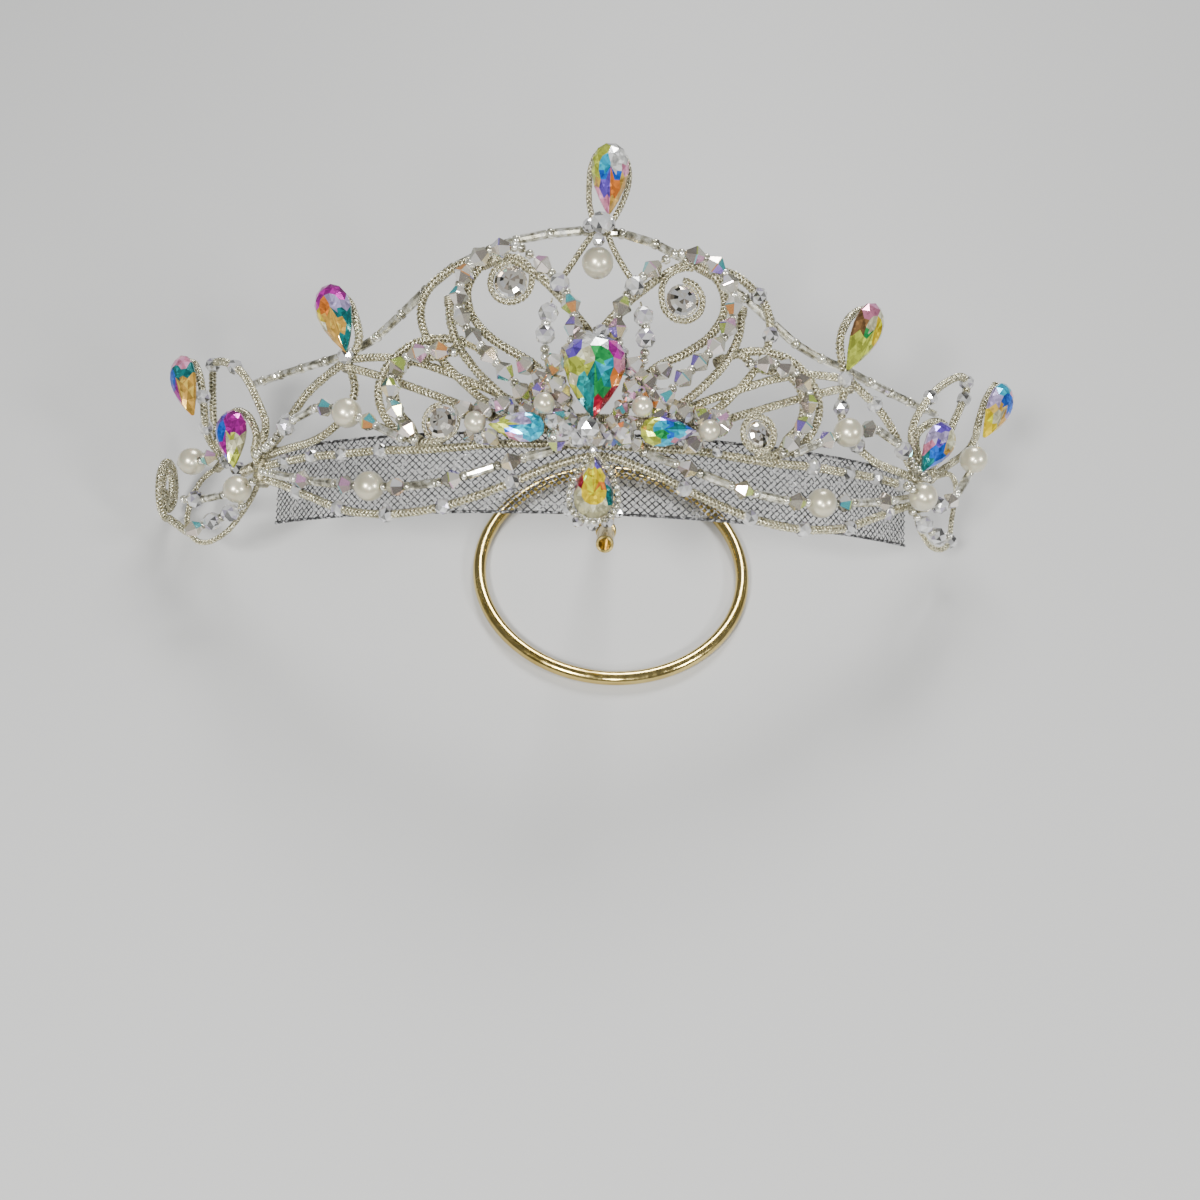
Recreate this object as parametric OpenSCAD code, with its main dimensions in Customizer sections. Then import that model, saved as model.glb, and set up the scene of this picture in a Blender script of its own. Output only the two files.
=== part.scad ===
/* [Head line] */
// Radius of the line that the wires follow round the head
head_r = 96; // [92:0.5:104]
// Angle by which the tiara leans forward on its stand
lean = 58; // [56:0.5:60]
// Place of the head line's centre beside the middle of the whole
arc_x = 2; // [0:0.1:3]
// Place of the head line's centre behind the middle of the whole
arc_y = 27.2; // [20:0.1:45]
// Height of the head line's centre, below the table when negative
arc_z = -35.4; // [-38:0.1:-34]
// Place of the middle ornament beside the middle of the tiara
middle_shift = -1.6; // [-3:0.1:3]
// Lean of the top stone and its loop to the side
crown_shift = 1.7; // [-3:0.1:3]

/* [Stand] */
// Radius of the ring that the stand rests on, at the middle of its rod
ring_r = 30; // [26:0.5:34]
// Thickness of the stand's rod
rod_d = 3; // [2:0.1:4]
// Thickness of the stand's post
post_d = 2.9; // [2:0.1:4]
// Place of the ring behind the head line's centre
ring_back = -28.8; // [-32:0.1:-26]
// Place of the stand beside the middle of the tiara
stand_x = 5; // [-8:0.5:8]
// Turn of the stand's post to the side
post_turn = -3.5; // [-6:0.5:6]
// Rise of the stand's post above the table
post_rise = 37.3; // [34:0.1:38]
// Length of the stand's post, without its open tip
post_length = 67; // [60:0.5:70]
// Length of the open tube at the tip of the post
tip_length = 11; // [6:0.5:14]

/* [Net] */
// Height of the net band
net_height = 16; // [10:0.5:20]
// Thickness of the net band
net_wall = 0.8; // [0.6:0.1:1.2]
// Place of the net's inner face behind the head line
net_back = 2.6; // [2.4:0.1:3]
// Half of the net band's length round the head
net_reach = 77; // [60:0.5:77]
// Distance between two gaps in a row of the net
net_pitch = 6.3; // [6:0.1:8]
// Distance between two rows of gaps in the net
net_step = 2.7; // [2.5:0.1:3]

/* [Wires] */
// Thickness of the wound wire
wire_d = 1.7; // [1.4:0.05:1.8]
// Thickness of the finer wire round the crown stone and in the lower leaf
fine_wire_d = 1.2; // [0.9:0.05:1.3]
// Thickness of the thread that the beads hang on
thread_d = 0.5; // [0.4:0.05:0.6]
// Thickness of the thread of the top strand
top_thread_d = 0.35; // [0.3:0.05:0.5]
// Step between two rings of a bent wire
wire_step = 3; // [2:0.25:4]
// Step between two rings of a nearly straight wire
long_step = 5; // [4:0.5:8]
// Step between two rings of the small loop at the top
loop_step = 2.2; // [1.5:0.1:3]

/* [Beads] */
// Length and width of a cut double cone bead
cone_bead = 3.9; // [3:0.1:4.2]
// Length of a tube bead
tube_bead = 5.4; // [4:0.1:6]
// Width of a tube bead
tube_bead_d = 1.8; // [1.4:0.1:2]
// Width of a round glass bead on the wires
wire_bead_d = 3.4; // [3.1:0.1:3.5]
// Width of a round glass bead on a thread
glass_bead_d = 4; // [3:0.1:4.2]
// Width of a large pearl
pearl_d = 6; // [5:0.1:6.2]
// Distance between two tube beads along the top strand
top_pitch = 7; // [6.6:0.1:9]

/* [Stones] */
// Length of the stone in the middle
centre_stone_l = 16; // [12:0.1:17]
// Width of the stone in the middle
centre_stone_w = 11.6; // [8:0.1:12]
// Length of the upright stone at the top
crown_stone_l = 14.4; // [12:0.1:14.8]
// Width of the upright stone at the top
crown_stone_w = 7.2; // [6:0.1:7.4]
// Length of the leaning stone at the side
tine_stone_l = 15.5; // [13:0.1:15.8]
// Width of the leaning stone at the side
tine_stone_w = 7.4; // [6:0.1:7.6]
// Length of the hanging drop
drop_l = 11.8; // [9:0.1:13]
// Width of the hanging drop
drop_w = 7.6; // [6:0.1:8]
// Length of the lying stone beside the middle
side_stone_l = 10.8; // [9:0.1:11.4]
// Width of the lying stone beside the middle
side_stone_w = 5.8; // [5:0.1:6]
// Length of the stone inside the leaf
leaf_stone_l = 12.6; // [11:0.1:12.8]
// Width of the stone inside the leaf
leaf_stone_w = 7.2; // [6:0.1:7.4]
// Length of the outermost stone
outer_stone_l = 14.8; // [12:0.1:15]
// Width of the outermost stone
outer_stone_w = 7.2; // [6:0.1:7.4]
// Width of the round stone in the upper curl
upper_round_d = 6.4; // [5:0.1:6.6]
// Width of the round stone in the lower curl
lower_round_d = 5.2; // [4:0.1:5.4]

/* [Hidden] */

$fn = 32;
deg = 180 / PI;
wire_sides = 5;
thread_sides = 4;
hole_r = 0.5;
bead_play = 0.1;
wire_hole_r = wire_d / 2 + 0.25;
knot_sides = 6;
knot_r = 1.1;
stone_sides = 12;
round_sides = 10;
cone_sides = 6;
stone_share = 0.6;

// Kinds of bead, for the last column of the tables of strands
PLAIN = 0;
CONE = 1;
TUBE = 2;
PEARL = 3;
GLASS = 4;

// Each row of a route: place round the head, height, place in front of the head line
middle_route = [
    [0, 13, 0], [12, 13, 0], [20, 13, 0], [29, 12.4, 0], [36, 12.2, 0], [44.5, 12.5, 0],
    [54, 12.4, 0], [62.3, 12.6, 0], [70, 12.4, 0], [77.8, 12.3, 0],
];
bottom_route = [
    [0, 11, 0], [8.5, 8.9, 0], [16.5, 5.6, 0], [23.5, 2.9, 0], [30.2, 1, 0], [36, 0, 0],
    [42.4, -0.3, 0], [48.5, 0.2, 0], [54.3, 1.4, 0], [63.3, 4.6, 0], [70, 7, 0], [77.8, 9.2, 0],
];
upper_fan_route = [
    [54, 31.8, 0], [44, 31.2, 0], [35, 29, 0], [27, 25.8, 0], [20, 22.8, 0], [14.5, 20, 0],
];
lower_fan_route = [
    [53, 30, 0], [44, 27, 0], [36, 24, 0], [28, 21, 0], [20.5, 18.2, 0],
];
oval_route = [
    [21, 49, 1.9], [28, 48, 0.8], [33.8, 44.2, 0], [35.3, 39.6, 0], [34.2, 34.6, 0],
    [31, 29.8, 0], [26.6, 25, 0], [22.5, 21.4, 0],
];
upper_side_route = [
    [54.5, 31.4, 0], [60, 28.8, 0], [65, 26, 0], [69, 22.6, 0], [73, 18.6, 0], [77.6, 15.6, 0],
];
lower_side_route = [
    [53.4, 30.6, 0], [51.6, 25.6, 0], [53.4, 20.6, 0], [57.2, 17.8, 0], [62.5, 15.8, 0],
    [70, 15.1, 0], [77.6, 14.7, 0],
];

// Where the two sides differ: first the left side's rows, then the right side's
tine_routes = [
    [[53.8, 31.6, 0], [51.3, 33.8, 0.4], [50.8, 36.2, 0.4], [51.5, 38.3, 0.3], [52.7, 41.1, 0.1],
     [54.3, 43.7, -0.2], [56.9, 45.4, -0.5], [59.2, 45.6, -0.6]],
    [[54, 32, 0], [51.6, 34.4, 0.4], [50.6, 37.6, 0.6], [50.8, 40.3, 0.6], [52.1, 42.9, 0.4],
     [54, 45.1, 0], [56.6, 46.9, -0.4], [59.3, 47.9, -0.6]],
];
petal_route = [
    [-4.4, 25, 4], [-0.6, 32, 4], [3.8, 37.8, 4], [8.8, 42.8, 4], [13, 46.2, 4], [17.2, 48.2, 4],
    [21.4, 46.8, 4], [23.8, 43, 4], [23.6, 38.8, 4], [21, 34.4, 4], [16.6, 30.8, 4],
    [11.2, 27.6, 4], [7, 23, 3.6], [5.6, 17.6, 2.8],
];
outer_route = [
    [27.4, 41, 4], [27, 36, 4], [25, 30.8, 4], [21.2, 25.8, 4], [16.6, 21.4, 3.6],
    [11.4, 17.4, 2.8],
];
crown_route = [
    [0, 70.2, 3.4], [2.4, 69, 3.4], [3.5, 66.2, 3.4], [3.6, 63, 3.4], [3.1, 59.6, 3.6],
    [2.2, 56.6, 3.9], [1.2, 53.8, 4], [2.9, 50, 4], [6, 44.8, 4], [8.4, 42, 4],
];
curl_outer_route = [
    [21.5, 30, 2], [27.5, 33, 2], [34.8, 33.3, 2], [39.9, 31.2, 2], [43.4, 27.5, 2], [44.3, 23, 2],
    [42.4, 18.4, 2], [38.8, 15, 2], [34.4, 13.3, 2], [30.2, 13.2, 2],
];
curl_inner_route = [
    [26.6, 32.4, 2], [31, 30, 2], [36, 30, 2], [39.5, 27.5, 2], [40.6, 23.3, 2],
    [39.2, 19.2, 2], [36.8, 16.6, 2], [35.6, 14, 2],
];
tall_leaf_routes = [
    [[80, 12.4, 0.8], [78.4, 13.9, 2.4], [76.2, 15.6, 2.8], [75, 18.2, 2.7], [75.5, 21.1, 2.4],
     [77.1, 23.9, 2.6], [79.3, 27, 2.8], [81.7, 30, 3], [85.5, 33.3, 3.2], [89.9, 35.6, 3.4],
     [95.6, 37.6, 3.6], [100.4, 38.1, 3.8], [101.4, 36.2, 3.8], [101.7, 33.3, 3.6],
     [102.4, 30.3, 3.2], [103, 27.2, 2.8], [103, 24.1, 2.2], [101.1, 20.6, 1.6], [95.6, 16.1, 1],
     [87.1, 11.9, 0.5]],
    [[80, 12.4, 0.8], [78.4, 13.9, 2.4], [75.8, 16.4, 2.5], [72.7, 19.5, 2.3], [71.4, 22.4, 2.4],
     [71.8, 24.9, 2.5], [73.1, 27.2, 2.6], [75.6, 30.2, 2.8], [78.5, 32.9, 3], [82.4, 35.7, 3.2],
     [87.7, 38.4, 3.4], [93, 40.4, 3.6], [97.2, 40.7, 3.8], [97.7, 38.5, 3.8], [95.8, 35.3, 3.4],
     [93.7, 32.3, 3], [91.4, 29.3, 2.6], [89.3, 26.2, 2.2], [87.9, 23.2, 1.6], [83.4, 18.2, 1.2],
     [81.4, 15.2, 0.6]],
];
stone_leaf_routes = [
    [[80, 13.4, 1], [79, 14.6, 2.5], [78.4, 16.2, 2.7], [78.1, 18.2, 2.6], [79.4, 20.7, 2.8],
     [81.7, 22.9, 2.8], [85.5, 24.6, 2.7], [90, 25.1, 2.4], [93.5, 24.2, 2], [95.2, 21.5, 1.8],
     [97.4, 18.4, 1.4]],
    [[80, 13.4, 1], [78.6, 14.4, 2.4], [76.2, 16.9, 2.4], [73.4, 20.6, 2.3], [73.3, 23.3, 2.5],
     [76.4, 25.8, 2.8], [80.9, 27.6, 2.7], [85.8, 28.1, 2.4], [89.6, 27.4, 2]],
];
outer_leaf_routes = [
    [[93.5, 15, 0.8], [100.6, 18.2, 1.6], [101.5, 20.4, 3.4], [98, 22.2, 5.4], [94.4, 24.2, 7.1],
     [93, 26.7, 8], [93, 29.7, 8.5], [93.8, 32.9, 9], [97.2, 36.2, 9], [101.7, 37.9, 9]],
    [[84.6, 16.4, 0.8], [95.6, 21.5, 1.4], [99.2, 24.4, 3.4], [98.8, 27, 5.4], [94.4, 28.8, 7.2],
     [93.2, 31.2, 8.2], [93.8, 34.2, 9], [96, 37.1, 9.6], [98.5, 39.3, 10.2]],
];
low_leaf_routes = [
    [[80, 10.6, 0.2], [81.4, 7.3, 0.4], [83, 4.6, 1], [84.2, 1.8, 2.2], [85.4, -0.9, 3.6],
     [87.5, -2.8, 5], [90.5, -3.8, 6.2], [94, -3.3, 7.2], [97.5, -1.2, 7.8], [101.2, 2.1, 7.6],
     [103.5, 6.1, 6.6], [105.8, 10.1, 5], [104.7, 12.9, 3.4], [100.8, 14.5, 1.8]],
    [[80, 10.6, 0.2], [78.8, 8, 0], [78.4, 5.8, 0], [79.1, 4.3, 0], [81.9, 2.3, 0], [85.4, 0.9, 0],
     [90.3, 0.8, 0], [95.4, 2.1, 0], [98.4, 4.5, 0], [99.7, 8, 0], [100.4, 11.8, 0.4],
     [100.1, 14.9, 1], [96.6, 17.1, 1.6], [91.9, 18.1, 1.4], [83.4, 15.6, 1]],
];
coil_place = [107.6, 9.9, 10.8];
coil_r = 7;
coil_in_r = 2.2;
coil_turns = 2.25;
coil_arm = [[103, 2, 10.6], [98.6, -0.6, 8.6], [96.8, -1.6, 7.7]];

// The top strand runs over the whole front, from the left end to the right one
top_route = [
    [-92, 32, -1], [-79, 31.8, -1], [-66, 32.6, -1.8], [-56, 33.8, -2.4], [-49, 36.2, -2.4],
    [-41.6, 41.4, -2.4], [-33, 48.2, -2.4], [-24, 52.2, -2.4], [-14.5, 54.4, -1.4], [-2, 55, 0.4],
    [7, 54.2, -0.6], [13, 52.6, -1.8], [20, 49.8, -2.4], [30, 45, -2.4], [40, 38.4, -2.4],
    [47, 36, -2.4], [56, 34.6, -2.4], [66, 32.6, -1.8], [79, 31.4, -1], [92, 31.8, -1],
];

// Each row of a strand: the same three places, and the kind of bead
curl_rows = [
    [12.8, 48.8, 7, PLAIN], [17, 49.6, 7, CONE], [21.5, 47.9, 7, CONE],
    [24.2, 44.4, 7, CONE], [24.9, 40, 7, CONE], [24.2, 35.6, 7, CONE],
    [21.6, 31.9, 7, CONE], [18.6, 28.5, 7, CONE], [15.6, 25.2, 7, CONE],
    [13.2, 22.4, 6.4, PLAIN],
];
inner_rows = [
    [13, 48.4, 7, PLAIN], [9.6, 46, 7, CONE], [6.4, 42.2, 7, GLASS],
    [3.9, 38.2, 7, CONE], [3.7, 33.8, 7, CONE], [4.2, 30.6, 6.6, PLAIN],
];
round_rows = [
    [7.8, 39.4, 6.2, PLAIN], [8.4, 36.6, 7, GLASS], [9, 32.3, 7, GLASS], [8.6, 27.6, 6, PLAIN],
];
low_curl_rows = [
    [26.2, 29.4, 5.2, PLAIN], [29.8, 30.4, 5.2, CONE], [34.6, 30.5, 5.2, CONE],
    [39, 28.2, 5.2, CONE], [40.4, 23.4, 5.2, CONE], [38.9, 18.8, 5.2, CONE],
    [35.9, 15.3, 5.2, CONE], [34.2, 12.6, 4.4, PLAIN],
];
pearl_rows = [
    [77, 13.6, 3.6, PLAIN], [72, 15, 3.4, PLAIN], [66.8, 18.4, 4, GLASS],
    [61.2, 21, 4, TUBE], [55.6, 21.8, 4, CONE], [50, 19.6, 4, PEARL],
    [44.9, 17.4, 4, CONE], [40.4, 15.2, 4, TUBE], [36.8, 13.4, 4, PLAIN],
];
bead_rows = [
    [77.4, 10.8, 1.6, PLAIN], [69, 8.8, 1.6, TUBE], [63.4, 7.6, 1.6, CONE],
    [57.5, 6.6, 1.6, TUBE], [51.6, 5.8, 1.6, CONE], [45.8, 5, 1.6, PEARL],
    [39.8, 4.7, 1.6, CONE], [33.8, 4.8, 1.6, TUBE], [28, 5.8, 1.6, CONE],
    [22.3, 7.5, 1.6, TUBE], [16.6, 9.3, 1.6, CONE], [11, 10.8, 1.8, TUBE],
    [7.4, 11.9, 1.9, PLAIN],
];

// Strands of the two leaves: first the left side, then the right one
leaf_strands = [
    [
        [[77.2, 8.9, 2.6, PLAIN], [81.1, 6.5, 4.6, PEARL], [89.2, 5.7, 6, TUBE],
         [94.9, 5.8, 8.2, GLASS], [99.5, 6.4, 9.4, PLAIN]],
        [[81.1, 4.2, 2.6, PLAIN], [81.8, 1.5, 5.6, GLASS], [87.6, 0.6, 6.6, GLASS],
         [88.7, -1.6, 10.4, CONE], [88.9, -2.6, 12.4, PLAIN]],
        [[97.5, 13.9, 11.2, PLAIN], [93.3, 13.7, 10, PEARL], [88.3, 13.8, 8, CONE],
         [86.9, 14.4, 6.4, PLAIN]],
    ],
    [
        [[64.9, 11, 5.4, PLAIN], [70.1, 9.4, 6.2, PEARL], [77, 7.1, 6, GLASS], [81.3, 9.8, 6.4, CONE],
         [85.1, 13.6, 7.4, TUBE], [87.9, 20.1, 9.2, PEARL], [86, 23.1, 10.2, PLAIN]],
        [[72.1, 7.2, 1.8, PLAIN], [75.2, 4.3, 3.2, GLASS], [82.8, 1.6, 3.2, GLASS],
         [89.3, 3.6, 2.6, PLAIN]],
    ],
];

// Places of the stones, as in the routes
centre_stone_place = [0, 24.4, 7.8];
side_stone_place = [13.4, 15, 6.4];
drop_place = [0.6, 4.1, 4.4];
crown_stone_place = [crown_shift, 63.2, 5.2];
crown_pearl_place = [0, 46.3, 6.8];
upper_rosette_place = [15.4, 41.6, 5.7];
upper_rosette_rise = 1.2;
lower_rosette_place = [29.7, 16.6, 3.8];

// Left and right stones of the sides: place, facing, lean and turn about the long axis
tine_stone_seats = [
    [[54.5, 39.3, 3.2], 24, -20.9, -13.4],
    [[54.3, 40, 3.2], 10, -24.1, 27.2],
];
leaf_stone_seats = [
    [[82.3, 17.5, 6], 24, -6.5, -4.3],
    [[75.1, 20.2, 6], 20, -32.9, 6.3],
];
outer_stone_seats = [
    [[93.3, 30, 12], 36, -22.7, 3.4],
    [[92, 31.2, 12], 30, -30.5, 9.1],
];

// Each row of round beads on the wires: place round the head along the wire
middle_bead_places = [44.5, 54, 62.3, 71];
bottom_bead_places = [16.5, 30.2, 42.4, 54.3, 66.2];

// Each row of loose glass in the middle: three places, width
centre_cluster = [
    [-8.4, 19, 8, 4], [8.4, 19, 8, 4], [-21, 16, 5.6, 4.2], [21, 16, 5.6, 4.2],
    [-2.3, 13.4, 4.8, 4], [2.3, 13.4, 4.8, 4], [-6.4, 13.4, 4.4, 3.4], [6.4, 13.4, 4.4, 3.4],
    [0.4, 11.1, 4.6, 1.8],
];
crown_cluster = [
    [-1.7, 53.4, 7, 2.8], [1.7, 53.8, 7.1, 2.8], [0, 50.8, 6.6, 2.6],
];
drop_cluster = [
    [-3.8, -0.4, 4.6, 2.4], [-2, -2.4, 4.6, 2.4], [0.6, -3, 4.6, 2.4],
    [3.2, -2.4, 4.6, 2.4], [5, -0.4, 4.6, 2.4],
];

// A place on the head line becomes a point in space
function shell(row) =
    let (turn = row[0] / head_r * deg, r = head_r + row[2])
    [r * sin(turn), -r * cos(turn), row[1]];

// Rows above the neck of the crown lean to the side
function leaning(rows) = [
    for (row = rows)
        let (share = max(0, min(1, (row[1] - 50) / 14)))
        [row[0] + crown_shift * share, row[1], row[2]],
];

// Rows that follow the middle ornament the more, the higher they are
function moved(rows) = [
    for (row = rows)
        let (share = max(0, min(1, (row[1] - 21) / 20)))
        [row[0] + middle_shift * share, row[1], row[2]],
];

// The same place on the left or the right side; the left curl's stone sits higher
function mirrored(place, side) = [side * place[0], place[1], place[2]];
function upper_place(side) = mirrored(upper_rosette_place, side) - [0, side * upper_rosette_rise, 0];

// The left or the right one of two
function of_side(pair, side) = pair[side < 0 ? 0 : 1];

// The same rows on the left or the right side
function on_side(rows, side) = [for (row = rows) [side * row[0], row[1], row[2], row[3]]];

// Both sides of a route that starts in the middle, as one route
function both_sides(rows) = concat(
    [for (i = [len(rows) - 1:-1:1]) [-rows[i][0], rows[i][1], rows[i][2]]], rows
);

// A smooth line through points
function spline_point(p, i, t) =
    let (
        n = len(p) - 1, a = p[max(i - 1, 0)], b = p[i], c = p[i + 1], d = p[min(i + 2, n)]
    )
    (2 * b + (c - a) * t + (2 * a - 5 * b + 4 * c - d) * t ^ 2 + (3 * b - a - 3 * c + d) * t ^ 3) / 2;
function spline(p, step) = [
    for (i = [0:len(p) - 2])
        let (count = max(1, round(norm(p[i + 1] - p[i]) / step)))
        for (k = [0:count - 1]) spline_point(p, i, k / count),
    p[len(p) - 1],
];
function route(rows, step) = spline([for (row = rows) shell(row)], step);

function unit(v) = v / norm(v);
function heading(path, i) = unit(path[min(i + 1, len(path) - 1)] - path[max(i - 1, 0)]);
function away(p, along) = let (out = unit([p.x, p.y, 0])) unit(out - (out * along) * along);

// Rings of points round a path
function rings(path, r, sides) = [
    for (i = [0:len(path) - 1])
        let (along = heading(path, i), u = away(path[i], along), v = cross(along, u))
        for (k = [0:sides - 1])
            path[i] + r * (cos(360 * k / sides) * u + sin(360 * k / sides) * v),
];

// Side faces of a stack of rings, closed round on itself or open
function side_faces(count, sides, closed) = [
    for (i = [0:count - (closed ? 1 : 2)]) for (k = [0:sides - 1])
        let (j = (i + 1) % count, m = (k + 1) % sides)
        [i * sides + k, j * sides + k, j * sides + m, i * sides + m],
];

// Length along a path up to each of its points
function lengths(path) = [
    for (i = 0, sum = 0; i < len(path);
        i = i + 1, sum = sum + (i < len(path) ? norm(path[i] - path[i - 1]) : 0)) sum,
];
function at_length(path, sums, s) =
    let (
        i = max([for (k = [0:len(path) - 2]) if (sums[k] <= s) k]),
        t = (s - sums[i]) / (sums[i + 1] - sums[i])
    )
    path[i] + t * (path[i + 1] - path[i]);

function bead_length(kind) =
    kind == CONE ? cone_bead : kind == TUBE ? tube_bead : kind == PEARL ? pearl_d
    : kind == GLASS ? glass_bead_d : 0;

// Half of the length that a row's bead takes on the thread, and the place where two beads meet
function half_bead(row) = bead_length(row[3]) / 2;
function meeting(a, b) =
    let (
        p = shell(a), q = shell(b), slack = norm(q - p) - half_bead(a) - half_bead(b),
        share = half_bead(a) == 0 ? slack - bead_play : half_bead(b) == 0 ? bead_play : slack / 2
    )
    p + (half_bead(a) + share) * unit(q - p);

// The thread runs straight through each bead and bends where two beads meet
function thread_path(rows) = [
    shell(rows[0]),
    for (i = [0:len(rows) - 2]) meeting(rows[i], rows[i + 1]),
    shell(rows[len(rows) - 1]),
];

// Leaning of the whole tiara
module leant() {
    translate([arc_x, arc_y, arc_z]) rotate([-lean, 0, 0]) children();
}

// The middle ornament stands a little beside the middle
module middle() {
    leant() rotate([0, 0, middle_shift / head_r * deg]) children();
}

// A child lies against the head line, with its front outwards
module seat(row, roll = 0) {
    translate(shell(row)) rotate([90, 0, row[0] / head_r * deg]) rotate([0, 0, roll]) children();
}

// A child lies at a place of the left or the right side, with a facing, lean and turn of its own
module side_seat(row, side) {
    translate(shell(mirrored(row[0], side))) rotate([90, 0, side * row[1]])
        rotate([0, 0, side * row[2]]) rotate([0, side * row[3], 0]) children();
}

// A child's upright axis turns to a direction
module along(p, d) {
    translate(p) rotate([0, acos(unit(d).z), atan2(d.y, d.x)]) children();
}

module stack(points, sides, closed = false) {
    count = len(points) / sides;
    caps = closed ? [] : [
        [for (k = [0:sides - 1]) k],
        [for (k = [sides - 1:-1:0]) (count - 1) * sides + k],
    ];
    polyhedron(points, concat(caps, side_faces(count, sides, closed)));
}

module tube(path, d, sides) {
    stack(rings(path, d / 2, sides), sides);
}

module wire(rows, d = wire_d, step = wire_step) {
    tube(route(rows, step), d, wire_sides);
}

// Wound binding between two places on the wires
module binding(a, b, r) {
    d = shell(b) - shell(a);
    hull() {
        along(shell(a), d) cylinder(h = 0.6, r = r, $fn = knot_sides);
        along(shell(b) - 0.6 * unit(d), d) cylinder(h = 0.6, r = 0.85 * r, $fn = knot_sides);
    }
}

// Double cone with flat facets and a hole for the thread
module cone_bead_solid() {
    half = cone_bead / 2;
    end_r = 0.85;
    profile = [[hole_r, -half], [end_r, -half], [half, 0], [end_r, half], [hole_r, half]];
    points = [
        for (p = profile) for (k = [0:cone_sides - 1])
            let (a = 360 * k / cone_sides) [p[0] * cos(a), p[0] * sin(a), p[1]],
    ];
    stack(points, cone_sides, true);
}

module drilled_ball(d, r) {
    difference() {
        sphere(d = d);
        cylinder(h = d + 1, r = r, center = true);
    }
}

module tube_bead_solid() {
    difference() {
        cylinder(h = tube_bead, d = tube_bead_d, center = true);
        cylinder(h = tube_bead + 1, r = hole_r, center = true);
    }
}

module bead(kind) {
    if (kind == CONE) cone_bead_solid();
    if (kind == TUBE) tube_bead_solid();
    if (kind == PEARL) drilled_ball(pearl_d, hole_r);
    if (kind == GLASS) drilled_ball(glass_bead_d, hole_r);
}

module strand(rows) {
    path = thread_path(rows);
    for (i = [1:len(rows) - 2])
        along((path[i] + path[i + 1]) / 2, path[i + 1] - path[i]) bead(rows[i][3]);
}

module strand_thread(rows) {
    tube(thread_path(rows), thread_d, thread_sides);
}

// Pear outline, pointed at the bottom
function pear(length, width, scale, turn) = [
    for (k = [0:stone_sides - 1])
        let (t = 360 * k / stone_sides + turn)
        [scale * width / 2 / 0.77 * sin(t) * sin(t / 2), -scale * length / 2 * cos(t)],
];

// Cut pear stone: flat table in front, facets round it and behind it
module pear_stone(length, width) {
    depth = stone_share * width;
    half_step = 180 / stone_sides;
    levels = [
        [-depth / 2, 0.3, 0], [-0.1 * depth, 1, half_step], [0.1 * depth, 1, half_step],
        [depth / 2, 0.58, 0],
    ];
    points = [
        for (level = levels) for (p = pear(length, width, level[1], level[2]))
            [p.x, p.y, level[0]],
    ];
    stack(points, stone_sides);
}

// Cut round stone: its table lies lower in front of the widest line than its point behind it
module round_stone(d) {
    half_step = 180 / round_sides;
    levels = [[-1.6, 0.25, 0], [-0.1, 1, half_step], [0.5, 1, half_step], [1.4, 0.6, 0]];
    points = [
        for (level = levels) for (k = [0:round_sides - 1])
            let (a = 360 * k / round_sides + level[2])
            [level[1] * d / 2 * cos(a), level[1] * d / 2 * sin(a), level[0]],
    ];
    stack(points, round_sides);
}

// Round stone inside its ring of wire
module rosette(d) {
    ring_wire_d = 1.3;
    play = 0.25;
    rotate_extrude() translate([(d + ring_wire_d) / 2 + play, 0]) circle(d = ring_wire_d);
    round_stone(d);
}

// Ring on the table, leaning post, and the collar and open tube at the end of the post
module stand() {
    collar = 1.5;
    collar_d = rod_d + 1;
    tube_d = rod_d + 0.3;
    tube_hole_d = rod_d - 0.9;
    color("goldenrod") translate([arc_x + stand_x, arc_y + ring_back, rod_d / 2]) union() {
        rotate_extrude($fn = 64) translate([ring_r, 0]) circle(d = rod_d);
        translate([0, ring_r, 0]) rotate([0, 0, post_turn]) rotate([90 - post_rise, 0, 0]) union() {
            cylinder(h = post_length, d = post_d);
            translate([0, 0, post_length - collar]) cylinder(h = collar, d = collar_d);
            difference() {
                translate([0, 0, post_length]) cylinder(h = tip_length, d = tube_d);
                translate([0, 0, post_length + collar]) cylinder(h = tip_length, d = tube_hole_d);
            }
        }
    }
}

module net_band() {
    reach = net_reach / head_r * deg;
    wall_in = head_r - net_back;
    strips = floor(2 * net_reach / net_pitch) - 1;
    gap_w = 2.45;
    gap_h = 2.1;
    color("black") leant() difference() {
        rotate([0, 0, -90 - reach]) rotate_extrude(angle = 2 * reach, $fn = 96)
            translate([wall_in, 0]) square([net_wall, net_height]);
        for (row = [0:4]) for (i = [0:strips - row % 2])
            let (place = (i - (strips - row % 2) / 2) * net_pitch)
            rotate([0, 0, place / head_r * deg - 90])
                translate([wall_in - 1, 0, net_height / 2 + (row - 2) * net_step])
                rotate([90, 0, 90]) linear_extrude(net_wall + 2)
                polygon([[-gap_w, 0], [0, -gap_h], [gap_w, 0], [0, gap_h]]);
    }
}

module middle_wire() {
    color("silver") leant() wire(both_sides(middle_route), wire_d, long_step);
}

module bottom_wire() {
    color("silver") leant() wire(both_sides(bottom_route), wire_d, long_step);
}

// Round glass beads threaded on a wire
module beads_on_wire(rows, places, side) {
    path = route(on_side(rows, side), 1);
    for (place = places) {
        near = [for (p = path) abs(abs(atan2(p.x, -p.y)) * head_r / deg - place)];
        i = search(min(near), near)[0];
        along(path[i], heading(path, i)) drilled_ball(wire_bead_d, wire_hole_r);
    }
}

module wire_beads(side) {
    color("white") leant() {
        beads_on_wire(middle_route, middle_bead_places, side);
        beads_on_wire(bottom_route, bottom_bead_places, side);
    }
}

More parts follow.
